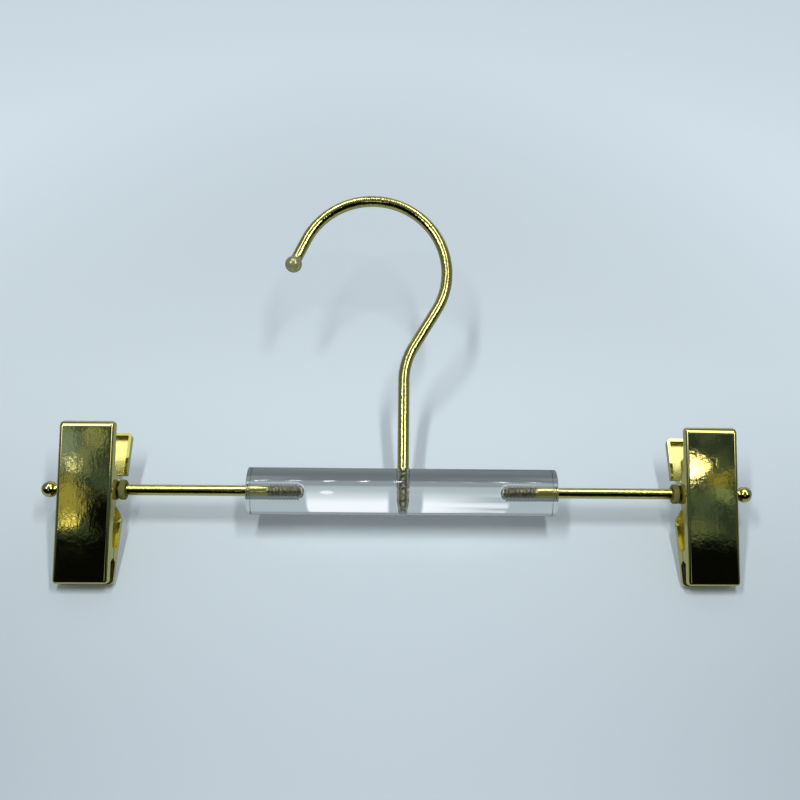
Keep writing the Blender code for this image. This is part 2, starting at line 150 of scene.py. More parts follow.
class Finish:
    """The nodes of one material or of the world."""

    def __init__(self, tree):
        self.tree = tree

    def add(self, kind, settings=None, inputs=None, output=0):
        """Adds a node, gives it its settings and then its inputs, and hands back one of its outputs."""
        node = self.tree.nodes.new(kind)
        for name, value in (settings or {}).items():
            setattr(node, name, value)
        for name, value in (inputs or {}).items():
            self.feed(node.inputs[name], value)
        return Term(self, node.outputs[output])

    def feed(self, socket, value):
        if isinstance(value, Term):
            self.tree.links.new(value.socket, socket)
        else:
            socket.default_value = value

    def maths(self, operation, first, second=0.0):
        return self.add("ShaderNodeMath", {"operation": operation}, {0: first, 1: second})

    def place(self):
        return self.add("ShaderNodeTexCoord", output="Object")

    def axes(self, where):
        """The x, y and z of a vector."""
        parts = self.add("ShaderNodeSeparateXYZ", None, {0: where}).socket.node.outputs
        return [Term(self, part) for part in parts]

    def noise(self, where, scale, detail=2.0, stretch=None):
        """Cloudy noise from 0 to 1; scale is in features a metre, stretch a share along each axis."""
        if stretch:
            where = self.add("ShaderNodeVectorMath", {"operation": "MULTIPLY"}, {0: where, 1: stretch})
        return self.add("ShaderNodeTexNoise", None, {"Vector": where, "Scale": scale, "Detail": detail})

    def between(self, value, low, high, to_low=0.0, to_high=1.0):
        """A value's place between low and high, eased and clamped."""
        inputs = {"Value": value, 1: low, 2: high, 3: to_low, 4: to_high}
        return self.add("ShaderNodeMapRange", {"interpolation_type": "SMOOTHSTEP"}, inputs)

    def tint(self, share, first, second):
        inputs = {0: share, 6: first, 7: second}
        return self.add("ShaderNodeMix", {"data_type": "RGBA"}, inputs, output=2)


def material(name, **constants):
    """A new material with constants on its Principled shader, and its finish for what varies."""
    made = bpy.data.materials.new(name)
    made.use_nodes = True
    shader = made.node_tree.nodes["Principled BSDF"]
    for socket, value in constants.items():
        shader.inputs[socket.replace("_", " ")].default_value = value
    return made, Finish(made.node_tree), shader.inputs


def bumped(finish, inputs, height):
    """Bumps a surface; height is in mm."""
    relief = {"Height": height, "Distance": MM, "Strength": 1.0}
    finish.feed(inputs["Normal"], finish.add("ShaderNodeBump", None, relief))


# %% [markdown]
# ## Gold plating
#
# The plating is a pale, slightly green lemon gold, close to a mirror. What makes it look real is that it
# isn't a perfect one: the sheet is faintly wavy, the plating has a fine orange peel, and rubbing marks run
# across it. Those go into the bump and the roughness, and the colour only drifts a little. Where a wire is
# threaded inside the bar it is rougher, and its colour is darkened as painted shade of the bore; the ball
# at the hook's tip is dull as well.

# %% Gold
GOLD_LIGHT = (0.95, 0.88, 0.34, 1.0)
GOLD_DEEP = (0.88, 0.80, 0.26, 1.0)
PAINTED_THREAD_SHADE = (0.34, 0.32, 0.24, 1.0)
SIDE_PLAIN = 5.2 * MM
IN_BAR_FADE = 0.8 * MM
IN_BAR_ABOVE = 0.2 * MM
DULL_TIP = (0.36, 0.37, 0.22, 1.0)
DULL_TIP_R = 3.2 * MM
DULL_TIP_FADE = 0.5 * MM


def in_bar_zone(finish, where):
    """1 where a wire is threaded inside the bar, away from its ends: where the bores' painted shade goes."""
    x, _, z = finish.axes(where)
    across = finish.maths("ABSOLUTE", x - BAR_X)
    height = z - (BAR_Z + BAR_R)
    inside = finish.between(across, BAR_END - SIDE_PLAIN, BAR_END - SIDE_PLAIN - IN_BAR_FADE)
    return inside * finish.between(height, IN_BAR_ABOVE, IN_BAR_ABOVE - IN_BAR_FADE)


def gold(name, waves, wave_size, rubbing, threaded=False, dull=0.0, dull_at=None):
    """Gold plating; waves is the height of its waviness and wave_size its length, in mm."""
    made, finish, inputs = material(name, Metallic=1.0)
    where = finish.place()
    colour = finish.tint(finish.noise(where, 90.0, 3.0), GOLD_DEEP, GOLD_LIGHT)
    peel = finish.noise(where, 1300.0, 3.0)
    rubbed = finish.noise(where, 1000.0, 3.0, (1.0, 1.0, 0.22))
    haze = finish.between(finish.noise(where, 160.0, 4.0), 0.45, 0.75)
    roughness = 0.015 + dull + 0.025 * rubbed + 0.03 * haze
    if dull_at:
        ends = {0: where, 1: dull_at}
        from_tip = finish.add("ShaderNodeVectorMath", {"operation": "DISTANCE"}, ends, output=1)
        tip = finish.between(from_tip, DULL_TIP_R, DULL_TIP_R - DULL_TIP_FADE)
        colour = finish.tint(0.8 * tip, colour, DULL_TIP)
        roughness = roughness + 0.15 * tip
        finish.feed(inputs["Metallic"], 1 - 0.35 * tip)
    if threaded:
        # painted shade: threads inside the bar take a darker colour for the shade of their bores, and a
        # rougher finish
        in_bar = in_bar_zone(finish, where)
        colour = finish.tint(in_bar * finish.between(peel, 0.35, 0.6, 0.55, 1.0), colour, PAINTED_THREAD_SHADE)
        roughness = roughness + 0.25 * in_bar
    finish.feed(inputs["Base Color"], colour)
    finish.feed(inputs["Roughness"], roughness)
    wavy = finish.noise(where, 1000.0 / wave_size, 2.0) * waves
    bumped(finish, inputs, wavy + rubbed * rubbing + peel * rubbing)
    return made


SHEET_GOLD = gold("sheet_gold", 0.018, 7.0, 0.004)
INNER_GOLD = gold("inner_gold", 0.018, 7.0, 0.004, dull=0.22)
WIRE_GOLD = gold("wire_gold", 0.05, 1.4, 0.008, threaded=True)

# %% [markdown]
# ## Clear acrylic, soft ring, spring steel and pad rubber
#
# The bar is one solid of acrylic, so it only needs a clean dielectric with the right index: the bores in
# the mesh do the rest. The stopper ring is a dull, yellowish rubber that lets part of the light through,
# the spring is plain drawn steel with fine lines along the wire, and the pads are dark rubber.


# %% Other finishes
WATER_CLEAR = (0.97, 0.985, 0.985, 1.0)
RING_DARK = (0.14, 0.14, 0.035, 1.0)
RING_PALE = (0.24, 0.24, 0.07, 1.0)
STEEL_DARK = (0.42, 0.42, 0.41, 1.0)
STEEL_PALE = (0.66, 0.66, 0.65, 1.0)
PAD_DARK = (0.03, 0.036, 0.032, 1.0)
PAD_PALE = (0.07, 0.08, 0.07, 1.0)


def acrylic(name):
    made, finish, inputs = material(name, Transmission_Weight=1.0, IOR=1.49, Base_Color=WATER_CLEAR)
    scuffs = finish.noise(finish.place(), 500.0, 5.0, (0.2, 1.0, 1.0))
    finish.feed(inputs["Roughness"], finish.between(scuffs, 0.62, 0.8, 0.0, 0.05))
    return made


def milky(name):
    made, finish, inputs = material(name, Transmission_Weight=0.35, IOR=1.43)
    cloud = finish.noise(finish.place(), 700.0, 3.0)
    finish.feed(inputs["Base Color"], finish.tint(cloud, RING_DARK, RING_PALE))
    finish.feed(inputs["Roughness"], 0.35 + 0.2 * cloud)
    bumped(finish, inputs, cloud * 0.03)
    return made


def drawn_steel(name):
    made, finish, inputs = material(name, Metallic=1.0)
    lines = finish.noise(finish.place(), 2500.0, 3.0, (1.0, 0.2, 0.2))
    finish.feed(inputs["Base Color"], finish.tint(lines, STEEL_DARK, STEEL_PALE))
    finish.feed(inputs["Roughness"], 0.22 + 0.2 * lines)
    bumped(finish, inputs, lines * 0.01)
    return made


def pad_rubber(name):
    made, finish, inputs = material(name)
    grain = finish.noise(finish.place(), 3000.0, 4.0)
    finish.feed(inputs["Base Color"], finish.tint(grain, PAD_DARK, PAD_PALE))
    finish.feed(inputs["Roughness"], 0.5 + 0.25 * grain)
    bumped(finish, inputs, grain * 0.03)
    return made


ACRYLIC = acrylic("acrylic")
RING_RUBBER = milky("ring_rubber")
SPRING_STEEL = drawn_steel("drawn_steel")
PAD_RUBBER = pad_rubber("pad_rubber")


# %% [markdown]
# ## Tools for the shapes
#
# Three helpers make nearly everything. `spun` turns a profile round the X axis, `pushed` carries a round
# section along a line of points, and `dress` turns a finished bmesh into a piece that rides on its body
# and stands for its solid. The small ones keep elements in the order they were found, so that each run
# gives the same meshes.


# %% Shape tools
EXACT = 0.0005 * MM
WELD = 0.001 * MM
ON_PLANE = 0.002 * MM


def once(items):
    """Each item once, in the order found; a set would give them in another order on each run."""
    return list(dict.fromkeys(items))


def outline(shape, points, closed=False):
    """Vertices and edges through points."""
    corners = [shape.verts.new(point) for point in points]
    ends = corners[1:] + corners[:1] if closed else corners[1:]
    return corners, [shape.edges.new(pair) for pair in zip(corners, ends)]


def next_ring(shape, edges):
    """Extrudes a rim where it is; gives the new vertices and the new rim."""
    made = bmesh.ops.extrude_edge_only(shape, edges=edges)["geom"]
    ring = [item for item in made if isinstance(item, bmesh.types.BMVert)]
    return ring, [item for item in made if isinstance(item, bmesh.types.BMEdge)]


def turn(shape, angle, axis):
    bmesh.ops.rotate(shape, verts=shape.verts, cent=(0, 0, 0), matrix=Matrix.Rotation(angle, 3, axis))


def spun(shape, profile, steps):
    """Turns a profile of (x, radius) points a full turn about the X axis."""
    corners, edges = outline(shape, [(x, 0.0, radius) for x, radius in profile])
    bmesh.ops.spin(shape, geom=corners + edges, cent=(0, 0, 0), axis=(1, 0, 0), dvec=(0, 0, 0),
                   angle=math.tau, steps=steps, use_merge=True, use_duplicate=False)
    bmesh.ops.remove_doubles(shape, verts=shape.verts, dist=EXACT)
    return shape


def frames_along(points, radii):
    """A matrix at each point: its Z along the line, its size the radius there."""
    found = []
    heading = None
    for index, point in enumerate(points):
        before = points[max(index - 1, 0)]
        after = points[min(index + 1, len(points) - 1)]
        way = (after - before).normalized()
        if heading is None:
            facing = way.to_track_quat("Z", "Y")
        else:
            facing = heading.rotation_difference(way) @ facing
        heading = way
        size = Matrix.Diagonal((radii[index], radii[index], radii[index], 1.0))
        found.append(Matrix.Translation(point) @ facing.to_matrix().to_4x4() @ size)
    return found


def pushed(shape, points, radii, sides):
    """Extrudes a round section from point to point and closes both ends."""
    frames = frames_along(points, radii)
    made = bmesh.ops.create_circle(shape, cap_ends=False, radius=1.0, segments=sides, matrix=frames[0])
    edges = once(edge for vert in made["verts"] for edge in vert.link_edges)
    bmesh.ops.contextual_create(shape, geom=edges)
    for start, goal in zip(frames, frames[1:]):
        ring, edges = next_ring(shape, edges)
        bmesh.ops.transform(shape, matrix=goal @ start.inverted(), verts=ring)
    bmesh.ops.contextual_create(shape, geom=edges)
    return shape


def dress(name, shape, finish, node, body, turn_out=True, angle=35.0, flats=False, inside=None):
    """Makes the piece that is seen in place of a node.

    turn_out points its faces outwards, flats keeps its flat faces flat to the eye, and inside is a second
    finish, for the inner side of a sheet.
    """
    if turn_out:
        bmesh.ops.recalc_face_normals(shape, faces=shape.faces)
    mesh = bpy.data.meshes.new(name)
    shape.to_mesh(mesh)
    shape.free()
    mesh.shade_smooth()
    mesh.set_sharp_from_angle(angle=math.radians(angle))
    mesh.materials.append(finish)
    if inside:
        mesh.materials.append(inside)
    piece = bpy.data.objects.new(name, mesh)
    bpy.context.scene.collection.objects.link(piece)
    if flats:
        weighted = piece.modifiers.new("flats", "WEIGHTED_NORMAL")
        weighted.keep_sharp = True
    if body:
        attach(piece, body)
    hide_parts(node)
    print(f"{name}: {len(mesh.polygons)} faces")
    return piece


# %% [markdown]
# ## Threads
#
# Screws are what the clear bar shows off, so both threads are real helices. A thread is only a rule: at a
# given place along the axis and angle round it, the surface lies in the groove, on the crest or on the
# flank between. Rings close enough together are moved out to that rule. The bar's end bores use the same
# rule with a small clearance and half the depth, so they have the mating thread.

# %% Thread rule
SIDE_PITCH = 1.0 * MM
SIDE_CORE = 1.28 * MM
SIDE_CREST = 1.60 * MM
SCREW_PITCH = 1.35 * MM
SCREW_CREST = 1.80 * MM
SCREW_THREAD = 0.27 * MM
BORE_PLAY = 0.13 * MM
SCREW_PLAY = 0.1 * MM
THREAD_FADE = 1.0 * MM
GROOVE_SHARE = 0.08
FLANK_SHARE = 0.32


def clamped(share):
    return min(max(share, 0.0), 1.0)


def ridge(along, angle, pitch):
    """0 in the groove, 1 on the crest; half the groove's floor and each flank are shares of the pitch."""
    phase = (along / pitch - angle / math.tau) % 1.0
    off_groove = 0.5 - abs(phase - 0.5)
    return clamped((off_groove - GROOVE_SHARE) / FLANK_SHARE)


# %% [markdown]
# ## The hook
#
# The hook is one wire, so it is one section pushed along one line: a ball at the tip, a short straight,
# the arc, a slanting neck, a wide bend and the stem. The lower end is cut as a tapered wood screw that
# bites straight into the acrylic.

# %% Hook sizes
HOOK_HALF_WIDTH = 22.4 * MM
HOOK_HALF_HEIGHT = 23.3 * MM
HOOK_ARC_FROM = 155.4
HOOK_ARC_TO = -31.2
HOOK_TIP_RUN = 8.4 * MM
HOOK_BALL_R = 2.5 * MM
HOOK_BEND_RADIUS = 21.0 * MM
SCREW_DEPTH = 10.6 * MM
SCREW_TAPER = 2.2 * MM
SCREW_TIP_R = 1.2 * MM
SCREW_RING = 0.11 * MM
POINT_GROOVE = 0.1
ARC_Z = HOOK_R - HOOK_HALF_HEIGHT
BALL_POLE = math.radians(4.0)
BALL_STEPS = 24
ARC_STEPS = 90
BEND_STEPS = 24
STEM_STEPS = 8


# %% Hook line
def on_arc(angle):
    return Vector((HOOK_HALF_WIDTH * math.cos(angle), 0.0, ARC_Z + HOOK_HALF_HEIGHT * math.sin(angle)))


def along_arc(angle):
    return Vector((-HOOK_HALF_WIDTH * math.sin(angle), 0.0, HOOK_HALF_HEIGHT * math.cos(angle))).normalized()


def hook_tip():
    first = math.radians(HOOK_ARC_FROM)
    return on_arc(first) + HOOK_TIP_RUN * along_arc(first)


def hook_line():
    """Points of the hook's centreline down to its bend, the radii at its ball and the bend's height."""
    first = math.radians(HOOK_ARC_FROM)
    final = math.radians(HOOK_ARC_TO)
    tip = hook_tip()
    back = -along_arc(first)
    neck_angle = math.asin(HOOK_R / HOOK_BALL_R)
    points = []
    radii = []
    for step in range(BALL_STEPS + 1):
        around = BALL_POLE + (math.pi - neck_angle - BALL_POLE) * step / BALL_STEPS
        points.append(tip - back * HOOK_BALL_R * math.cos(around))
        radii.append(HOOK_BALL_R * math.sin(around))
    neck_run = HOOK_BALL_R * math.cos(neck_angle)
    for share in (0.15, 0.4, 0.7, 1.0):
        points.append(tip + back * (neck_run + (HOOK_TIP_RUN - neck_run) * share))
    for step in range(1, ARC_STEPS + 1):
        points.append(on_arc(first + (final - first) * step / ARC_STEPS))
    slant_way = along_arc(final)
    slant = math.atan2(slant_way.x, slant_way.z)
    middle_x = BAR_X + HOOK_BEND_RADIUS
    bend_x = middle_x - HOOK_BEND_RADIUS * math.cos(slant)
    neck_top = points[-1].copy()
    drop = (neck_top.x - bend_x) / math.tan(slant)
    middle_z = neck_top.z - drop - HOOK_BEND_RADIUS * math.sin(slant)
    for share in (0.33, 0.67):
        points.append(neck_top + Vector((bend_x - neck_top.x, 0.0, -drop)) * share)
    for step in range(BEND_STEPS + 1):
        angle = math.pi - slant + slant * step / BEND_STEPS
        points.append(Vector((middle_x + HOOK_BEND_RADIUS * math.cos(angle), 0.0,
                              middle_z + HOOK_BEND_RADIUS * math.sin(angle))))
    return points, radii, middle_z


SCREW_LOW = BAR_Z + BAR_R - SCREW_DEPTH
SCREW_HIGH = BAR_Z + BAR_R + 0.4 * MM


def screw_crest(z):
    """Radius over the thread's crest and how far the thread has faded in, at a height."""
    fade = clamped((SCREW_HIGH - z) / THREAD_FADE)
    crest = HOOK_R + (SCREW_CREST - HOOK_R) * fade
    if z < SCREW_LOW + SCREW_TAPER:
        crest = SCREW_TIP_R + (crest - SCREW_TIP_R) * (z - SCREW_LOW) / SCREW_TAPER
    return crest, fade


def screw_radius(z, angle):
    """Radius of the wood screw's thread at a height and an angle round the stem."""
    crest, fade = screw_crest(z)
    groove = SCREW_THREAD * fade * min(1.0, crest / SCREW_CREST + POINT_GROOVE)
    return crest - groove * (1.0 - ridge(z, angle, SCREW_PITCH))


def make_hook(finish):
    points, radii, bend_z = hook_line()
    for step in range(1, STEM_STEPS + 1):
        points.append(Vector((BAR_X, 0.0, bend_z + (SCREW_HIGH - bend_z) * step / STEM_STEPS)))
    rings = round((SCREW_HIGH - SCREW_LOW) / SCREW_RING)
    for ring in range(1, rings + 1):
        points.append(Vector((BAR_X, 0.0, SCREW_HIGH - (SCREW_HIGH - SCREW_LOW) * ring / rings)))
    radii += [HOOK_R] * (len(points) - len(radii))
    shape = pushed(bmesh.new(), points, radii, 40)
    for vert in shape.verts:
        if vert.co.z < SCREW_HIGH - SCREW_RING / 2:
            out = Vector((vert.co.x - BAR_X, vert.co.y))
            out = out.normalized() * screw_radius(vert.co.z, math.atan2(out.y, out.x))
            vert.co.x = BAR_X + out.x
            vert.co.y = out.y
    return dress("hook_wire", shape, finish, "hook", "hook", angle=50.0)


make_hook(gold("hook_gold", 0.09, 1.1, 0.010, threaded=True, dull_at=hook_tip()))

# %% [markdown]
# ## The side wires
#
# Each side wire is turned: a headed ball outside, a plain shank that the clip slides on, and a rolled
# thread inside the bar. The profile has a ring every tenth of a millimetre where the thread is.

# %% Side wires
SIDE_WIRE_R = 1.5 * MM
SIDE_TIP_RUN = 1.1 * MM
SIDE_TIP_SHARE = 0.72
SHANK_STEPS = 20
THREADED_TO = BAR_END - SIDE_PLAIN
THREAD_RING = 0.1 * MM


def side_radius(x, angle, play=0.0, depth=1.0):
    """Radius of the side wire's thread, x from the bar's middle; depth is a share of its grooves."""
    into = clamped((THREADED_TO - x) / THREAD_FADE)
    crest = SIDE_WIRE_R + (SIDE_CREST - SIDE_WIRE_R) * into
    core = SIDE_WIRE_R + (SIDE_CORE - SIDE_WIRE_R) * into
    groove = (crest - core) * (1.0 - ridge(x, angle, SIDE_PITCH)) * depth
    tip = clamped((x - SIDE_INNER) / SIDE_TIP_RUN)
    return (crest - groove) * (SIDE_TIP_SHARE + (1 - SIDE_TIP_SHARE) * tip) + play


def place_along_bar(shape, side):
    if side < 0:
        turn(shape, math.pi, "Z")
    bmesh.ops.translate(shape, verts=shape.verts, vec=(BAR_X, 0.0, BAR_Z))


def make_side_wire(side_name, side):
    neck = math.asin(SIDE_WIRE_R / SIDE_BALL_R)
    profile = []
    for step in range(BALL_STEPS + 1):
        angle = (math.pi - neck) * step / BALL_STEPS
        radius = 0.0 if step == 0 else SIDE_BALL_R * math.sin(angle)
        profile.append((SIDE_BALL_X + SIDE_BALL_R * math.cos(angle), radius))
    shank_end = profile[-1][0]
    shank = THREADED_TO - shank_end
    profile += [(shank_end + shank * step / SHANK_STEPS, SIDE_WIRE_R) for step in range(1, SHANK_STEPS + 1)]
    rings = round((THREADED_TO - SIDE_INNER) / THREAD_RING)
    profile += [(THREADED_TO - (THREADED_TO - SIDE_INNER) * ring / rings, SIDE_WIRE_R)
                for ring in range(1, rings + 1)]
    profile.append((SIDE_INNER, 0.0))
    shape = spun(bmesh.new(), profile, 40)
    for vert in shape.verts:
        out = Vector((vert.co.y, vert.co.z))
        if vert.co.x < THREADED_TO and out.length > SIDE_WIRE_R / 2:
            out = out.normalized() * side_radius(vert.co.x, math.atan2(out.y, out.x))
            vert.co.y = out.x
            vert.co.z = out.y
    place_along_bar(shape, side)
    return dress(f"{side_name}_wire", shape, WIRE_GOLD, f"{side_name}_side_wire", "bar",
                 angle=50.0)


for side_name, side in SIDES:
    make_side_wire(side_name, side)

# %% [markdown]
# ## The clear bar
#
# A clear solid is drawn from its outside and from every hollow in it. The bar is therefore turned in one
# profile that runs into both end bores, and the bore for the hook is opened in its top afterwards: a
# square patch of the skin is taken out, its rim is drawn in to a circle on the round surface, and that
# circle is carried down as a tapered bore. That bore is plain, because the hook's thread turns in it.

# %% Bar sizes
BAR_EDGE = 0.15 * MM
BORE_SPARE = 0.7 * MM
BORE_GROOVES = 0.5
BORE_END = 1.3 * MM
BAR_SIDES = 128
PATCH_CELLS = 9
BORE_MOUTH = 0.12 * MM
BORE_RING = 0.12 * MM
BORE_ROUND_STEPS = 8
EDGE_STEPS = 6
DRAWN_IN = (0.35, 0.54, 1.0)


def bar_profile():
    """Half of the bar's profile, from the bottom of the right bore out to the skin, as (x, radius)."""
    start = SIDE_INNER - BORE_SPARE + BORE_END
    bore_r = SIDE_WIRE_R + BORE_PLAY
    rings = round((THREADED_TO - start) / THREAD_RING)
    points = []
    for step in range(BORE_ROUND_STEPS + 1):
        angle = math.pi / 2 * step / BORE_ROUND_STEPS
        points.append((start - BORE_END * math.cos(angle), (SIDE_CORE + BORE_PLAY) * math.sin(angle)))
    points += [(start + (THREADED_TO - start) * ring / rings, bore_r) for ring in range(1, rings + 1)]
    points += [(THREADED_TO + SIDE_PLAIN * share, bore_r) for share in (0.3, 0.6)]
    points += [(BAR_END - BORE_MOUTH, bore_r), (BAR_END, bore_r + BORE_MOUTH)]
    for step in range(EDGE_STEPS + 1):
        angle = math.pi / 2 * step / EDGE_STEPS
        points.append((BAR_END - BAR_EDGE * (1 - math.cos(angle)), BAR_R - BAR_EDGE * (1 - math.sin(angle))))
    return points


def open_top(shape):
    """The bore for the hook, from a patch in the skin down to its point."""
    cell = BAR_R * math.tau / BAR_SIDES
    reach = PATCH_CELLS * cell - cell / 4
    side_reach = math.sin(PATCH_CELLS * math.tau / BAR_SIDES) * BAR_R - cell / 4
    inside = []
    for face in shape.faces:
        spot = face.calc_center_median()
        if abs(spot.x) < reach and abs(spot.y) < side_reach and spot.z > BAR_R / 2:
            inside.append(face)
    bmesh.ops.delete(shape, geom=inside, context="FACES")
    rim = [edge for edge in shape.edges if edge.is_boundary]
    for share in DRAWN_IN:
        ring, rim = next_ring(shape, rim)
        for vert in ring:
            flat = Vector((vert.co.x, vert.co.y))
            aim = flat.lerp(flat.normalized() * (SCREW_CREST + SCREW_PLAY + BORE_MOUTH), share)
            vert.co = (aim.x, aim.y, math.sqrt(BAR_R ** 2 - aim.y ** 2))
    low = SCREW_LOW - BAR_Z - BORE_SPARE
    high = BAR_R - BORE_MOUTH
    count = round((high - low) / BORE_RING)
    for step in range(count + 1):
        z = high + (low - high) * step / count
        radius = screw_crest(max(z + BAR_Z, SCREW_LOW))[0] + SCREW_PLAY
        ring, rim = next_ring(shape, rim)
        for vert in ring:
            angle = math.atan2(vert.co.y, vert.co.x)
            shelf = math.sqrt(BAR_R ** 2 - (radius * math.sin(angle)) ** 2) - BORE_MOUTH
            vert.co = (radius * math.cos(angle), radius * math.sin(angle), min(z, shelf))
    bmesh.ops.contextual_create(shape, geom=rim)


def make_bar():
    cell = BAR_R * math.tau / BAR_SIDES
    flank = BAR_END - BAR_EDGE
    half = bar_profile() + [(flank - flank * share, BAR_R) for share in (0.2, 0.4, 0.6, 0.8)]
    middle = [(cell * step, BAR_R) for step in range(PATCH_CELLS, -PATCH_CELLS - 1, -1)]
    shape = spun(bmesh.new(), half + middle + [(-x, radius) for x, radius in reversed(half)], BAR_SIDES)
    threaded_from = SIDE_INNER - BORE_SPARE + BORE_END + THREAD_RING / 2
    for vert in shape.verts:
        out = Vector((vert.co.y, vert.co.z))
        x = abs(vert.co.x)
        if threaded_from < x < THREADED_TO and out.length < BAR_R / 2:
            angle = math.atan2(out.y, out.x if vert.co.x > 0 else -out.x)
            radius = side_radius(max(x, SIDE_INNER + SIDE_TIP_RUN), angle, BORE_PLAY, BORE_GROOVES)
            out = out.normalized() * radius
            vert.co.y = out.x
            vert.co.z = out.y
    open_top(shape)
    bmesh.ops.translate(shape, verts=shape.verts, vec=(BAR_X, 0.0, BAR_Z))
    return dress("clear_bar", shape, ACRYLIC, "acrylic_bar", "bar", angle=40.0, flats=True)


make_bar()

# %% [markdown]
# ## The stopper rings
#
# A soft ring grips the wire on the inside of each clip and keeps the clip where it is put. It is turned
# like the wire, with well-rounded edges.

# %% Stopper rings
RING_EDGE = 0.45 * MM
RING_PLAY = 0.08 * MM


def arc_points(centre, radius, start, end, count):
    """Points on an arc; its ends are in degrees."""
    angles = [math.radians(start + (end - start) * step / count) for step in range(count + 1)]
    return [(centre[0] + radius * math.cos(angle), centre[1] + radius * math.sin(angle)) for angle in angles]


def make_ring(side_name):
    low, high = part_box(f"{side_name}_stopper_ring")
    half = (high.x - low.x) / 2
    outer = (high.z - low.z) / 2 - RING_EDGE
    bore = SIDE_WIRE_R + RING_PLAY + RING_EDGE
    profile = []
    for corner_x, corner_r, start in ((half - RING_EDGE, outer, 0.0), (RING_EDGE - half, outer, 90.0),
                                      (RING_EDGE - half, bore, 180.0), (half - RING_EDGE, bore, 270.0)):
        profile += arc_points((corner_x, corner_r), RING_EDGE, start, start + 90.0, EDGE_STEPS)
    profile.append(profile[0])
    shape = spun(bmesh.new(), profile, 48)
    bmesh.ops.translate(shape, verts=shape.verts, vec=(low + high) / 2)
    return dress(f"{side_name}_ring", shape, RING_RUBBER, f"{side_name}_stopper_ring", f"{side_name}_ring")


for side_name, _ in SIDES:
    make_ring(side_name)

# %% [markdown]
# ## The clip halves
#
# Each half is stamped from 0.8 mm sheet: a flat plate, edges rolled over and flanges all round. It is
# drawn here as the outer skin of that sheet. A block with rounded edges gives the plate and its rolled
# edges, its end walls are trimmed with a plane, and each side wall is filled flat inside its own outline,
# with the pivot hole left open. Solidify then gives the skin the sheet's thickness, and a fine bevel
# breaks the cut edges.

# %% Clip sizes
SHEET = 0.8 * MM
LEAN = math.radians(8.8)
THUMB_LENGTH = 18.7 * MM
JAW_LENGTH = 25.3 * MM
PLATE_DEPTH = 7.4 * MM
THUMB_EDGE = 1.8 * MM
PLATE_EDGE = 1.0 * MM
CORNER = 1.1 * MM
EAR_R = 2.8 * MM
PIVOT_HOLE_R = 1.8 * MM
FRONT_FLANGE = 2.4 * MM
REAR_FLANGE = 3.0 * MM
TAB_CORNER = 1.2 * MM
DIP_FLANGE = 2.8 * MM
JAW_LIP = 2.2 * MM
EAR_ROOT_UP = 7.0 * MM
EAR_ROOT_DOWN = 8.0 * MM
SHOULDER_TOP = 16.4 * MM
SHOULDER_END = 18.6 * MM
SHOULDER_SLOPE = 1.2 * MM
WAIST_UP = 6.4 * MM
WAIST_DOWN = 2.2 * MM
WAIST_RUNOUT = 4.2 * MM
EAR_BEND = 1.2 * MM
REAR_EAR_X = 4.5 * MM
HALVES_GAP = 0.3 * MM
CUT_EDGE = 0.13 * MM
HOLE_SIDES = 40
EAR_STEPS = 28
FRONT_EAR_TURN = 130.0
REAR_EAR_TURN = 110.0
EAR_BEND_STEPS = 6
SIDE_WALL_LEAST = 20 * MM ** 2
FACE_Y = -PLATE_DEPTH


# %% Plate with rolled edges
def rolled_block():
    """The block whose skin is the plate, its rolled edges and its walls, open at the back."""
    shape = bmesh.new()
    bmesh.ops.create_cube(shape, size=1.0)
    length = THUMB_LENGTH + JAW_LENGTH
    depth = PLATE_DEPTH + EAR_R
    bmesh.ops.scale(shape, verts=shape.verts, vec=(CLIP_HALF * 2, depth, length))
    bmesh.ops.translate(shape, verts=shape.verts,
                        vec=(0.0, EAR_R - depth / 2, THUMB_LENGTH - length / 2))
    back = [face for face in shape.faces if face.normal.y > 0.5]
    weights = shape.edges.layers.float.new("bevel_weight_edge")
    for edge in shape.edges:
        ends = [vert.co for vert in edge.verts]
        if max(end.y for end in ends) < 0:
            at_thumb = min(end.z for end in ends) > 0
            edge[weights] = 1.0 if at_thumb else PLATE_EDGE / THUMB_EDGE
        elif min(end.y for end in ends) < 0:
            edge[weights] = CORNER / THUMB_EDGE
    bmesh.ops.delete(shape, geom=back, context="FACES")
    mesh = bpy.data.meshes.new("rolled_block")
    shape.to_mesh(mesh)
    shape.free()
    rough = bpy.data.objects.new("rolled_block", mesh)
    bpy.context.scene.collection.objects.link(rough)
    roll = rough.modifiers.new("roll", "BEVEL")
    roll.limit_method = "WEIGHT"
    roll.width = THUMB_EDGE
    roll.segments = 8
    return mesh_of(rough)


def mesh_of(rough):
    """The evaluated mesh of a construction object as a bmesh; the object goes."""
    bpy.context.view_layer.update()
    depsgraph = bpy.context.evaluated_depsgraph_get()
    mesh = bpy.data.meshes.new_from_object(rough.evaluated_get(depsgraph))
    bpy.data.objects.remove(rough, do_unlink=True)
    shape = bmesh.new()
    shape.from_mesh(mesh)
    bpy.data.meshes.remove(mesh)
    bmesh.ops.remove_doubles(shape, verts=shape.verts, dist=WELD)
    return shape


def trim_end(shape, thumb, depth):
    """Cuts the end wall and its corners at a depth behind the plate's face."""
    part = [face for face in shape.faces if (face.calc_center_median().z > 0) == thumb
            and abs(face.normal.y) < 0.9]
    edges = once(edge for face in part for edge in face.edges)
    verts = once(vert for face in part for vert in face.verts)
    bmesh.ops.bisect_plane(shape, geom=[*part, *edges, *verts], dist=EXACT,
                           plane_co=(0.0, FACE_Y + depth, 0.0), plane_no=(0, 1, 0), clear_outer=True)


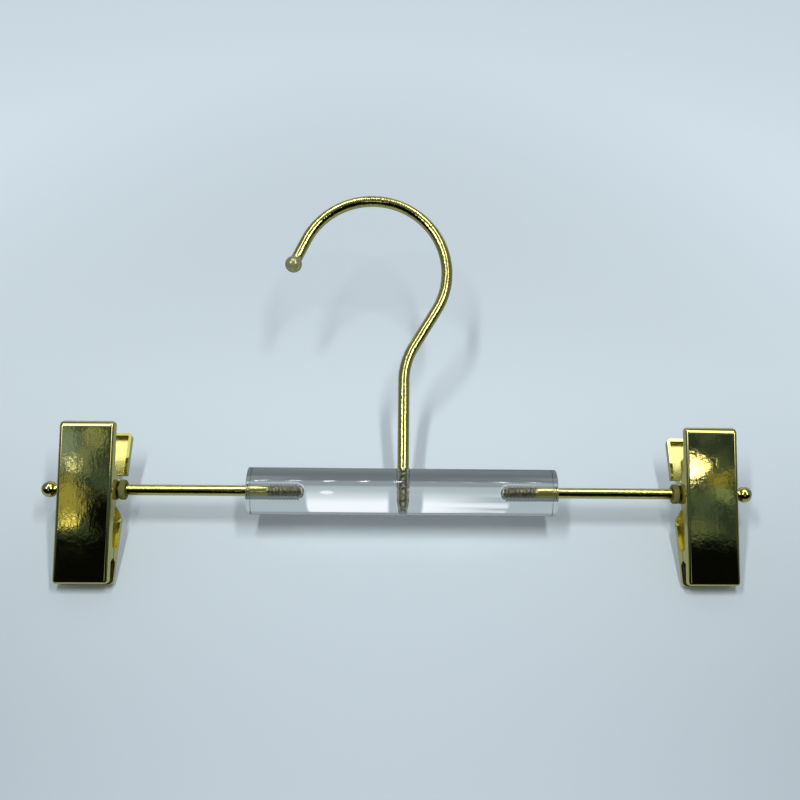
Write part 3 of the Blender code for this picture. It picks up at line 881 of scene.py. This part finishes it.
def open_block(thumb_flange):
    """The rolled block without its side walls, and with its end walls trimmed."""
    shape = rolled_block()
    walls = [face for face in shape.faces
             if abs(face.normal.x) > 0.999 and face.calc_area() > SIDE_WALL_LEAST]
    bmesh.ops.delete(shape, geom=walls, context="FACES")
    trim_end(shape, True, thumb_flange)
    trim_end(shape, False, JAW_LIP)
    return shape


def side_rim(shape, side):
    plane = side * CLIP_HALF
    return [edge for edge in shape.edges if edge.is_boundary
            and all(abs(vert.co.x - plane) < ON_PLANE for vert in edge.verts)]


def corner_near(edges, y, z):
    verts = once(vert for edge in edges for vert in edge.verts)
    return min(verts, key=lambda vert: (vert.co.y - y) ** 2 + (vert.co.z - z) ** 2)


def wall(shape, plane, rim, start, goal, free_edge, hole=None):
    """Fills a flat wall between rim edges and a free edge drawn through (y, z) points."""
    chain = [start, *[shape.verts.new((plane, y, z)) for y, z in free_edge], goal]
    edges = [shape.edges.new(pair) for pair in zip(chain, chain[1:])]
    if hole:
        edges += outline(shape, [(plane, y, z) for y, z in hole], closed=True)[1]
    bmesh.ops.triangle_fill(shape, use_beauty=True, use_dissolve=False, edges=rim + edges)


def shoulder():
    """Free edge from the dip past the shoulder to the jaw's lip, where the two halves nearly meet."""
    meet = -SHOULDER_TOP * math.tan(LEAN) - HALVES_GAP / 2
    meet_end = -SHOULDER_END * math.tan(LEAN) - HALVES_GAP / 2
    return [(FACE_Y + DIP_FLANGE, -EAR_ROOT_DOWN), (FACE_Y + DIP_FLANGE, SHOULDER_SLOPE - SHOULDER_TOP),
            (meet, -SHOULDER_TOP), (meet_end, -SHOULDER_END), (FACE_Y + JAW_LIP, -SHOULDER_END - SHEET)]


HOLE = arc_points((0.0, 0.0), PIVOT_HOLE_R, 0.0, 360.0 - 360.0 / HOLE_SIDES, HOLE_SIDES - 1)


# %% Sheet thickness
def sheet_metal(shape, name):
    """Turns the skin face outwards, then gives it the sheet's thickness and broken edges."""
    bmesh.ops.recalc_face_normals(shape, faces=shape.faces)
    plate = max(shape.faces, key=lambda face: face.calc_area())
    if plate.normal.y > 0:
        bmesh.ops.reverse_faces(shape, faces=shape.faces)
    mesh = bpy.data.meshes.new(name)
    shape.to_mesh(mesh)
    shape.free()
    rough = bpy.data.objects.new(name + "_rough", mesh)
    bpy.context.scene.collection.objects.link(rough)
    thick = rough.modifiers.new("sheet", "SOLIDIFY")
    thick.thickness = SHEET
    thick.offset = -1.0
    thick.use_even_offset = True
    thick.material_offset = 1
    mesh.materials.append(SHEET_GOLD)
    mesh.materials.append(INNER_GOLD)
    broken = rough.modifiers.new("cut_edges", "BEVEL")
    broken.limit_method = "ANGLE"
    broken.angle_limit = math.radians(60)
    broken.width = CUT_EDGE
    broken.segments = 2
    return mesh_of(rough)


def front_skin():
    shape = open_block(FRONT_FLANGE)
    for side in (-1, 1):
        rim = side_rim(shape, side)
        start = corner_near(rim, FACE_Y + FRONT_FLANGE, THUMB_LENGTH)
        goal = corner_near(rim, FACE_Y + JAW_LIP, -JAW_LENGTH)
        ear = arc_points((0.0, 0.0), EAR_R, FRONT_EAR_TURN, -FRONT_EAR_TURN, EAR_STEPS)
        free = [(FACE_Y + FRONT_FLANGE, EAR_ROOT_UP), *ear, *shoulder()]
        wall(shape, side * CLIP_HALF, rim, start, goal, free, HOLE)
    return shape


# %% Rear skin
def rear_skin():
    """The rear half: the same plate with a waist, and ears bent up from the waist's edges."""
    shape = open_block(REAR_FLANGE)
    bend_x = REAR_EAR_X - EAR_BEND
    ear_top = WAIST_UP - HALVES_GAP
    low = -WAIST_DOWN - WAIST_RUNOUT
    run_in = CLIP_HALF - REAR_EAR_X
    cuts = [((side * bend_x, 0, 0), (1, 0, 0)) for side in (1, -1)]
    cuts += [((0, 0, z), (0, 0, 1)) for z in (WAIST_UP, ear_top, -WAIST_DOWN, low)]
    cuts += [((side * REAR_EAR_X, 0, -WAIST_DOWN), (-WAIST_RUNOUT, 0, -side * run_in)) for side in (1, -1)]
    for plane_co, plane_no in cuts:
        bmesh.ops.bisect_plane(shape, geom=[*shape.faces, *shape.edges, *shape.verts], dist=EXACT,
                               plane_co=plane_co, plane_no=plane_no)

    def in_waist(face):
        spot = face.calc_center_median()
        if not low < spot.z < WAIST_UP:
            return False
        if spot.z > -WAIST_DOWN:
            return abs(spot.x) > bend_x
        return abs(spot.x) > REAR_EAR_X + run_in * (-WAIST_DOWN - spot.z) / WAIST_RUNOUT

    bmesh.ops.delete(shape, geom=[face for face in shape.faces if in_waist(face)], context="FACES")
    corner = (FACE_Y + REAR_FLANGE - TAB_CORNER, WAIST_UP + TAB_CORNER)
    tab = arc_points(corner, TAB_CORNER, 0.0, -90.0, 8)
    for side in (-1, 1):
        rim = side_rim(shape, side)
        upper = [edge for edge in rim if edge.verts[0].co.z > 0]
        lower = [edge for edge in rim if edge.verts[0].co.z < 0]
        start = corner_near(upper, FACE_Y + REAR_FLANGE, THUMB_LENGTH)
        goal = corner_near(upper, FACE_Y + PLATE_EDGE, WAIST_UP)
        wall(shape, side * CLIP_HALF, upper, start, goal, tab)
        start = corner_near(lower, FACE_Y + PLATE_EDGE, low)
        goal = corner_near(lower, FACE_Y + JAW_LIP, -JAW_LENGTH)
        wall(shape, side * CLIP_HALF, lower, start, goal, shoulder())
        bend_up(shape, side, bend_x, ear_top)
    return shape


def bend_up(shape, side, bend_x, ear_top):
    """An ear: the waist's edge turned up through a round bend, then a flat lobe with the pivot hole."""
    edges = [edge for edge in shape.edges if edge.is_boundary
             and all(abs(vert.co.x - side * bend_x) < ON_PLANE for vert in edge.verts)
             and all(-WAIST_DOWN - WELD < vert.co.z < ear_top + WELD for vert in edge.verts)]
    step_turn = Matrix.Rotation(side * math.pi / 2 / EAR_BEND_STEPS, 3, "Z")
    centre = Vector((side * bend_x, FACE_Y + EAR_BEND, 0.0))
    for _ in range(EAR_BEND_STEPS):
        ring, edges = next_ring(shape, edges)
        bmesh.ops.rotate(shape, verts=ring, cent=centre, matrix=step_turn)
    ends = sorted(once(vert for edge in edges for vert in edge.verts), key=lambda vert: vert.co.z)
    lobe = arc_points((0.0, 0.0), EAR_R, REAR_EAR_TURN, -REAR_EAR_TURN, EAR_STEPS)
    wall(shape, side * REAR_EAR_X, edges, ends[-1], ends[0], lobe, HOLE)


# %% Clip halves in place
def lean_in_place(shape, side, which):
    """Leans a half that was drawn upright, turns a rear one round and moves it to its clip."""
    if which == "rear":
        turn(shape, math.pi, "Z")
    turn(shape, -LEAN if which == "rear" else LEAN, "X")
    bmesh.ops.translate(shape, verts=shape.verts, vec=(BAR_X + side * CLIP_X, 0.0, BAR_Z))


def make_half(side_name, side, which):
    name = f"{side_name}_{which}_half"
    shape = sheet_metal(front_skin() if which == "front" else rear_skin(), name)
    lean_in_place(shape, side, which)
    return dress(name + "_sheet", shape, SHEET_GOLD, f"{side_name}_clip_{which}", name,
                 turn_out=False, angle=32.0, flats=True, inside=INNER_GOLD)


for side_name, side in SIDES:
    for which in ("front", "rear"):
        make_half(side_name, side, which)

# %% [markdown]
# ## The jaw pads
#
# A soft pad fills each jaw, with cross grooves on the face that grips.

# %% Jaw pads
PAD_HEIGHT = 5.6 * MM
PAD_GROOVES = 4
PAD_GROOVE_DEPTH = 0.25 * MM
PAD_LAND = 0.55
PAD_SIDE_GAP = 0.4 * MM
PAD_ROUND = 0.12 * MM


def make_pad(side_name, side, which):
    back = FACE_Y + SHEET + HALVES_GAP
    low = -JAW_LENGTH + SHEET + HALVES_GAP
    high = low + PAD_HEIGHT

    def grip(z, depth=0.0):
        return z * math.tan(LEAN) - HALVES_GAP / 2 / math.cos(LEAN) - depth

    pitch = PAD_HEIGHT / PAD_GROOVES
    points = [(back, low)]
    for row in range(PAD_GROOVES):
        start = low + row * pitch
        end = start + pitch * PAD_LAND
        points += [(grip(start), start), (grip(end), end)]
        if row < PAD_GROOVES - 1:
            middle = (end + start + pitch) / 2
            points.append((grip(middle, PAD_GROOVE_DEPTH), middle))
    points += [(grip(high), high), (back, high)]
    half = CLIP_HALF - SHEET - PAD_SIDE_GAP
    shape = bmesh.new()
    edges = outline(shape, [(-half, y, z) for y, z in points], closed=True)[1]
    cap = bmesh.ops.contextual_create(shape, geom=edges)["faces"]
    made = bmesh.ops.extrude_face_region(shape, geom=cap)["geom"]
    bmesh.ops.translate(shape, verts=[item for item in made if isinstance(item, bmesh.types.BMVert)],
                        vec=(half * 2, 0.0, 0.0))
    bmesh.ops.recalc_face_normals(shape, faces=shape.faces)
    bmesh.ops.bevel(shape, geom=shape.edges[:], offset=PAD_ROUND, segments=2, profile=0.5, affect="EDGES",
                    material=-1, clamp_overlap=True)
    lean_in_place(shape, side, which)
    return dress(f"{side_name}_{which}_jaw_pad", shape, PAD_RUBBER, f"{side_name}_{which}_pad",
                 f"{side_name}_{which}_half", flats=True)


for side_name, side in SIDES:
    for which in ("front", "rear"):
        make_pad(side_name, side, which)

# %% [markdown]
# ## The springs
#
# A torsion spring sits round the side wire inside each clip, with a leg against each half. When the
# thumb ends are pressed, one leg follows the rear half and the coil winds up. Here the piece is built in
# place and rides on neither half.

# %% Springs
SPRING_R = 0.5 * MM
SPRING_TURNS = 3
SPRING_PITCH = 1.5 * MM
SPRING_PLAY = 0.5 * MM
SPRING_COIL_R = SIDE_WIRE_R + SPRING_PLAY + SPRING_R
SPRING_LEG = 12.0 * MM
SPRING_STEPS = 32
SPRING_END_SHARES = (0.55, 0.88)


def make_spring(side_name, side):
    inner_face = (PLATE_DEPTH - SHEET) / math.cos(LEAN) + SPRING_LEG * math.tan(LEAN)
    leg_y = inner_face - HALVES_GAP - SPRING_R / math.cos(LEAN)
    toward = math.atan2(SPRING_LEG, leg_y)
    leaves = toward - math.acos(SPRING_COIL_R / math.hypot(leg_y, SPRING_LEG))
    begin = math.pi - leaves
    total = (math.tau + leaves - begin) + math.tau * SPRING_TURNS
    length = SPRING_PITCH * total / math.tau
    middle = Vector((BAR_X + side * CLIP_X, 0.0, BAR_Z))
    steps = round(total / math.tau * SPRING_STEPS)
    coil = []
    for step in range(steps + 1):
        angle = begin + total * step / steps
        along = length / 2 - length * step / steps
        coil.append(Vector((along, SPRING_COIL_R * math.cos(angle), SPRING_COIL_R * math.sin(angle))))
    front_end = Vector((length / 2, -leg_y, SPRING_LEG))
    rear_end = Vector((-length / 2, leg_y, SPRING_LEG))
    front_leg = [front_end.lerp(coil[0], share) for share in (0.0, 0.03, 0.06, 0.35, 0.7, 0.95)]
    rear_leg = [coil[-1].lerp(rear_end, share) for share in (0.05, 0.3, 0.65, 0.94, 0.97, 1.0)]
    points = [middle + point for point in front_leg + coil + rear_leg]
    radii = [SPRING_R] * len(points)
    for index, share in enumerate(SPRING_END_SHARES):
        radii[index] = radii[-1 - index] = SPRING_R * share
    shape = pushed(bmesh.new(), points, radii, 14)
    piece = dress(f"{side_name}_spring", shape, SPRING_STEEL, f"{side_name}_clip_spring", None)
    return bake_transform(piece, f"{side_name}_front_half", f"{side_name}_rear_half",
                    start=middle + Vector((length / 2, 0, 0)), end=middle - Vector((length / 2, 0, 0)))


for side_name, side in SIDES:
    make_spring(side_name, side)

# %% [markdown]
# ## The room
#
# One pale sheet, which leans back, is floor and backdrop in one. It faces the viewer only, so the
# hanger can also be looked at from behind. The lamps stand near and leave its far parts dim, so it glows a
# little there for the camera, and its paint is paler high up, as painted light, and darker low down, as
# painted shade. Polished metal sees it in a darker paint, a painted reflection that goes near black low
# down, which keeps the dark line that the photo shows low on every wire. Seen through the bar, the part of
# the sheet under the bar is unlit and glows one plain painted shade.

# %% Backdrop
BAR_SHADE = (0.145, 0.178, 0.188, 1.0)
WALL_GAP = 24 * MM
WALL_LEAN = math.radians(36)
ROOM_HALF = 900 * MM
WALL_COLOUR = (0.76, 0.87, 0.94, 1.0)
WALL_LOW = (0.48, 0.553, 0.61, 1.0)
WALL_FADE = (-0.17, -0.03)
WALL_GLOW = (0.358, 0.41, 0.452, 1.0)
GLOW_FADE = (-0.14, 0.27)
SIDE_GLOW = 2.7
UNDER_BAR = (BAR_Z - 2 * MM, BAR_Z - 5 * MM)
UNLIT = (0.0, 0.0, 0.0, 1.0)
MIRRORED_WALL = (0.30, 0.34, 0.36, 1.0)
MIRRORED_LOW = (0.012, 0.014, 0.014, 1.0)
MIRRORED_FADE = (-0.15, -0.118)


def one_sided(made, finish, shown, seen=None):
    """Links a shader that is clear from behind and, where seen is given, also where seen is 0."""
    clear = finish.add("ShaderNodeBsdfTransparent")
    hidden = finish.add("ShaderNodeNewGeometry", output="Backfacing")
    if seen:
        hidden = finish.maths("MAXIMUM", hidden, 1 - seen)
    mixed = finish.add("ShaderNodeMixShader", None, {0: hidden, 1: shown, 2: clear})
    finish.feed(made.node_tree.nodes["Material Output"].inputs["Surface"], mixed)


def flat_sheet(name, middle, half_x, half_y, lean, finish):
    """A flat sheet facing along its own Z, leant over about X, as part of the stage."""
    shape = bmesh.new()
    bmesh.ops.create_grid(shape, x_segments=1, y_segments=1, size=1.0)
    bmesh.ops.scale(shape, verts=shape.verts, vec=(half_x, half_y, 1.0))
    turn(shape, lean, "X")
    bmesh.ops.translate(shape, verts=shape.verts, vec=middle)
    mesh = bpy.data.meshes.new(name)
    shape.to_mesh(mesh)
    shape.free()
    mesh.materials.append(finish)
    sheet = bpy.data.objects.new(name, mesh)
    bpy.context.scene.collection.objects.link(sheet)
    return sheet


def wall_paint():
    made, finish, inputs = material("wall_paint", Roughness=0.9, Specular_IOR_Level=0.0,
                                    Emission_Strength=1.0)
    straight = finish.add("ShaderNodeLightPath", output="Is Camera Ray")
    mirrored = finish.add("ShaderNodeLightPath", output="Is Glossy Ray")
    through = finish.add("ShaderNodeLightPath", output="Is Transmission Ray")
    across, _, height = finish.axes(finish.place())
    # painted shade: seen through the bar, the sheet under the bar is unlit and glows one fixed shade
    under = through * finish.between(height, *UNDER_BAR)
    # painted light and shade: the sheet's paint is paler high up and darker low down
    painted = finish.tint(finish.between(height, *WALL_FADE), WALL_LOW, WALL_COLOUR)
    painted = finish.tint(under, painted, UNLIT)
    # painted reflection: polished metal sees the sheet darker than it is lit, near black low down
    in_metal = finish.tint(finish.between(height, *MIRRORED_FADE), MIRRORED_LOW, MIRRORED_WALL)
    finish.feed(inputs["Base Color"], finish.tint(mirrored * (1 - through), painted, in_metal))
    glow = finish.between(height + across * across * SIDE_GLOW, *GLOW_FADE)
    shining = finish.tint(straight * glow, UNLIT, WALL_GLOW)
    finish.feed(inputs["Emission Color"], finish.tint(under, shining, BAR_SHADE))
    one_sided(made, finish, Term(finish, made.node_tree.nodes["Principled BSDF"].outputs[0]))
    return made


WALL_PAINT = wall_paint()
flat_sheet("wall", (0, WALL_GAP, BAR_Z), ROOM_HALF, ROOM_HALF, math.pi / 2 - WALL_LEAN, WALL_PAINT)

# %% [markdown]
# ## What the clear bar gathers
#
# A round bar is a strong lens. It gathers the lamps into bright patches on the wall behind itself, with a
# gap where the hook's screw stands in the way, and turns them upside down for the viewer. A renderer
# finds such patches only by luck, so a card behind the bar carries them. Only rays that come through the
# acrylic see it.

# %% Gathered light
CARD_GAP = 20 * MM
CARD_RISE = 3.1 * MM
CARD_HALF_X = 48 * MM
CARD_HALF_Z = 27 * MM
GLOW_SPANS = ((-29.3 * MM, -3.5 * MM), (5.7 * MM, 33.0 * MM))
SPAN_EDGE = 1.2 * MM
FADING = (6.0 * MM, 32.0 * MM)
# heights on the card, in bar radii above its middle
SHADE_TO_GREY = (-0.56, -0.42)
GREY_TO_PALE = (-0.27, -0.17)
GLOW_LOW = (-0.24, 0.68)
GLOW_HIGH = (2.9, 2.6)
GREY_ABOVE = (2.7, 3.0)
LAMP_IMAGE = (-22.6, 0.05, 2.5, 0.10)
LAMP_IMAGE_LIGHT = (0.90, 0.95, 0.98, 1.0)
BAR_GREY = (0.26, 0.31, 0.34, 1.0)
BAR_PALE = (0.42, 0.50, 0.53, 1.0)
BAR_GLOW = (0.98, 1.04, 1.08, 1.0)


def soft_oval(finish, along, height, middle, middle_height, half_width, half_height):
    """1 in the middle of an oval patch, 0 outside."""
    across = (along - middle) * (1 / half_width)
    up = (height - middle_height) * (1 / half_height)
    return finish.between(across * across + up * up, 1.0, 0.25)


def gathered_light():
    made, finish, _ = material("gathered_light")
    x, _, z = finish.axes(finish.place())
    x = x - BAR_X
    z = (z - (BAR_Z + CARD_RISE)) * (1 / BAR_R)
    spans = 0.0
    for start, end in GLOW_SPANS:
        span = finish.between(x, start, start + SPAN_EDGE) * finish.between(x, end, end - SPAN_EDGE)
        spans = spans + span
    streaks = finish.noise(finish.place(), 45.0, 3.0, (0.5, 1.0, 6.0))
    fading = 1 - finish.between(x, *FADING) * finish.between(streaks, 0.62, 0.4, 0.25, 1.0)
    # painted shadow and light: low on the card the bar's own shadow on the wall, in shade and grey; above it
    # the gathered bright patches, one lamp's image as a painted glint, and grey again high up
    colour = finish.tint(finish.between(z, *SHADE_TO_GREY), BAR_SHADE, BAR_GREY)
    colour = finish.tint(finish.between(z, *GREY_TO_PALE), colour, BAR_PALE)
    glow = finish.between(z, *GLOW_LOW) * finish.between(z, *GLOW_HIGH) * spans * fading
    colour = finish.tint(glow, colour, BAR_GLOW)
    colour = finish.tint(soft_oval(finish, x * (1 / MM), z, *LAMP_IMAGE), colour, LAMP_IMAGE_LIGHT)
    colour = finish.tint(finish.between(z, *GREY_ABOVE), colour, BAR_GREY)
    light = finish.add("ShaderNodeEmission", None, {"Color": colour})
    one_sided(made, finish, light, finish.add("ShaderNodeLightPath", output="Is Transmission Ray"))
    return made


flat_sheet("gathered_light", (BAR_X, CARD_GAP, BAR_Z + CARD_RISE), CARD_HALF_X, CARD_HALF_Z, math.pi / 2,
           gathered_light())

# %% [markdown]
# ## Lamps
#
# Two small tall lamps, about as near as the viewer and one to each side, make the pair of soft shadows
# beside the stem and the band under the bar. Neither is seen in the metal or through the bar.

# %% Lamps
LAMP_REACH = 300 * MM
LAMP_WIDTH = 10 * MM
LAMP_HEIGHT = 96 * MM
LAMP_POWER = 0.385
LAMP_ELEVATION = 8.6


def lamp(name, azimuth):
    """A tall soft lamp aimed at the bar; azimuth is to the right of the viewer, in degrees."""
    light = bpy.data.objects.new(name, bpy.data.lights.new(name, "AREA"))
    light.data.energy = LAMP_POWER
    light.data.shape = "RECTANGLE"
    light.data.size = LAMP_WIDTH
    light.data.size_y = LAMP_HEIGHT
    a = math.radians(azimuth)
    e = math.radians(LAMP_ELEVATION)
    away = Vector((math.sin(a) * math.cos(e), -math.cos(a) * math.cos(e), math.sin(e)))
    light.location = Vector((BAR_X, 0.0, BAR_Z)) + away * LAMP_REACH
    light.rotation_mode = "QUATERNION"
    light.rotation_quaternion = away.to_track_quat("Z", "Y")
    light.visible_glossy = False
    light.visible_transmission = False
    light.visible_camera = False
    bpy.context.scene.collection.objects.link(light)
    return light


lamp("left_lamp", -9.2)
lamp("right_lamp", 6.9)
print("lamps:", LAMP_REACH / MM, "mm from the bar")

# %% [markdown]
# ## What the polish mirrors
#
# Mirror-bright metal shows hardly any lamp, only what stands round it. So the world has two faces: plain
# and pale for everything that is matt, and for polished surfaces a room. The room has a dim front with a
# tall soft window on each side of the viewer, a bright ceiling with a row of small lamps, and it is black
# below. Near the viewer a few soft patches float in the dark, and those are what the flat plates show.
# Directions are given as azimuth, to the right of the viewer, and elevation, in degrees.

# %% The mirrored room
DIM = (0.11, 0.125, 0.13, 1.0)
SHADE = (0.018, 0.028, 0.036, 1.0)
SHADE_LIGHT = (0.06, 0.085, 0.095, 1.0)
BLACK = (0.002, 0.0025, 0.0025, 1.0)
CEILING = (0.24, 0.26, 0.26, 1.0)
OVERHEAD = (0.12, 0.13, 0.13, 1.0)
BEHIND = (0.40, 0.42, 0.43, 1.0)
WINDOW = (3.4, 3.5, 3.5, 1.0)
SKYLIGHT = (2.1, 2.15, 2.15, 1.0)
PLAIN_LIGHT = (0.74, 0.76, 0.77, 1.0)
PLAIN_STRENGTH = 0.36
DIM_RISE = (-4.0, 4.0)
CEILING_RISE = (14.0, 34.0)
CEILING_SIDES = (55.0, 35.0)
OVERHEAD_RISE = (62.0, 75.0)
BEHIND_FROM = (95.0, 125.0)
BLACK_BELOW = (-10.7, -11.3)
WAVES = 2.0
SOFT_PATCHES = (
    # azimuth, elevation, half width, half height, colour
    (-31.0, 7.0, 12.0, 15.0, WINDOW),
    (32.0, 7.0, 12.0, 15.0, WINDOW),
    (-20.0, 42.0, 13.0, 31.0, SKYLIGHT),
    (24.0, 42.0, 11.0, 31.0, SKYLIGHT),
    (-17.0, 29.5, 5.0, 4.5, (0.7, 0.76, 0.6, 1.0)),
    (11.0, 47.0, 8.0, 26.0, (0.75, 0.8, 0.82, 1.0)),
    (-2.0, -22.0, 9.0, 12.0, (0.5, 0.52, 0.5, 1.0)),
    (-20.3, -5.6, 1.5, 1.8, (0.19, 0.25, 0.36, 1.0)),
    (-17.9, -5.0, 0.9, 1.0, (0.25, 0.28, 0.22, 1.0)),
    (-18.6, -6.3, 0.7, 0.9, (0.16, 0.20, 0.19, 1.0)),
    (-19.7, -8.9, 1.1, 1.7, (0.30, 0.28, 0.12, 1.0)),
    (-17.3, -9.8, 1.4, 1.7, BLACK),
    (-19.4, -7.0, 0.35, 0.35, (1.6, 1.6, 1.5, 1.0)),
    (-19.7, -10.1, 0.7, 0.35, (1.3, 1.2, 0.6, 1.0)),
    (18.6, -6.8, 0.5, 0.9, (4.6, 4.6, 4.3, 1.0)),
    (19.1, -6.4, 0.7, 0.5, (4.4, 4.2, 2.8, 1.0)),
    (20.6, -7.1, 1.3, 0.5, (0.24, 0.22, 0.06, 1.0)),
    (20.6, -8.0, 0.9, 0.5, (0.20, 0.26, 0.22, 1.0)),
    (19.2, -10.3, 1.6, 0.5, (0.10, 0.12, 0.10, 1.0)),
)
LAMP_ROW_ELEVATION = 42.0
LAMP_ROW_HALF = 4.0
LAMP_ROW_SPACING = 2.94
LAMP_ROW_END = (24.0, 20.0)
LAMP_ROW_START = 0.279
LAMP_ROW_GAP = (1.4, 7.6)
LAMP_ROW_GAP_EDGE = 0.6
GAP_DIMMING = 0.85
SEEN_THROUGH = 0.35
LAMP_LIGHT = (18.0, 18.5, 19.0, 1.0)
ROW_LIGHT = (0.3, 0.32, 0.32, 1.0)


def lamp_row(finish, azimuth, elevation, beside):
    """The row's soft band across the ceiling, and the spots of its lamps within that band."""
    band = 1.0
    for side in (-1, 1):
        edge = LAMP_ROW_ELEVATION + side * LAMP_ROW_HALF
        band = finish.between(elevation, edge, edge - side * LAMP_ROW_HALF / 2) * band
    band = band * finish.between(beside, *LAMP_ROW_END)
    beat = finish.maths("PINGPONG", azimuth * (1 / LAMP_ROW_SPACING) + LAMP_ROW_START, 0.5)
    gap = finish.between(azimuth, LAMP_ROW_GAP[0] - LAMP_ROW_GAP_EDGE, LAMP_ROW_GAP[0])
    gap = gap * finish.between(azimuth, LAMP_ROW_GAP[1] + LAMP_ROW_GAP_EDGE, LAMP_ROW_GAP[1])
    return band, band * finish.between(beat, 0.30, 0.45) * (1 - GAP_DIMMING * gap)


def make_world():
    world = bpy.data.worlds.new("room_light")
    world.use_nodes = True
    bpy.context.scene.world = world
    tree = world.node_tree
    finish = Finish(tree)
    plain = tree.nodes["Background"]
    plain.inputs["Color"].default_value = PLAIN_LIGHT
    plain.inputs["Strength"].default_value = PLAIN_STRENGTH
    way = finish.add("ShaderNodeTexCoord", output="Generated")
    x, y, z = finish.axes(way)
    azimuth = finish.maths("DEGREES", finish.maths("ARCTAN2", x, 0 - y))
    elevation = finish.maths("DEGREES", finish.maths("ARCSINE", z))
    beside = finish.maths("ABSOLUTE", azimuth)
    cloud = finish.noise(way, 50.0, 6.0)
    near_a = azimuth + (finish.noise(way, 90.0, 5.0) - 0.5) * WAVES
    waves = (cloud - 0.5) * WAVES
    shade = finish.tint(finish.between(cloud, 0.35, 0.65), SHADE, SHADE_LIGHT)
    shade = finish.tint(finish.between(elevation - waves, *BLACK_BELOW), shade, BLACK)
    seen = finish.tint(finish.between(elevation, *DIM_RISE), shade, DIM)
    ceiling = finish.between(elevation, *CEILING_RISE) * finish.between(beside, *CEILING_SIDES)
    seen = finish.tint(ceiling, seen, CEILING)
    seen = finish.tint(finish.between(elevation, *OVERHEAD_RISE), seen, OVERHEAD)
    for *oval, colour in SOFT_PATCHES:
        seen = finish.tint(soft_oval(finish, near_a, elevation + waves, *oval), seen, colour)
    band, spots = lamp_row(finish, azimuth, elevation, beside)
    seen = finish.tint(band, seen, ROW_LIGHT)
    seen = finish.tint(spots, seen, LAMP_LIGHT)
    seen = finish.tint(finish.between(beside, *BEHIND_FROM), seen, BEHIND)
    mirror = finish.add("ShaderNodeBackground", None, {"Color": seen, "Strength": 1.0})
    polished = finish.add("ShaderNodeLightPath", output="Is Glossy Ray")
    through = finish.add("ShaderNodeLightPath", output="Is Transmission Ray")
    inputs = {0: polished * (1 - SEEN_THROUGH * through), 1: Term(finish, plain.outputs[0]), 2: mirror}
    mixed = finish.add("ShaderNodeMixShader", None, inputs)
    finish.feed(tree.nodes["World Output"].inputs["Surface"], mixed)


make_world()
print("soft patches in the mirrored room:", len(SOFT_PATCHES))
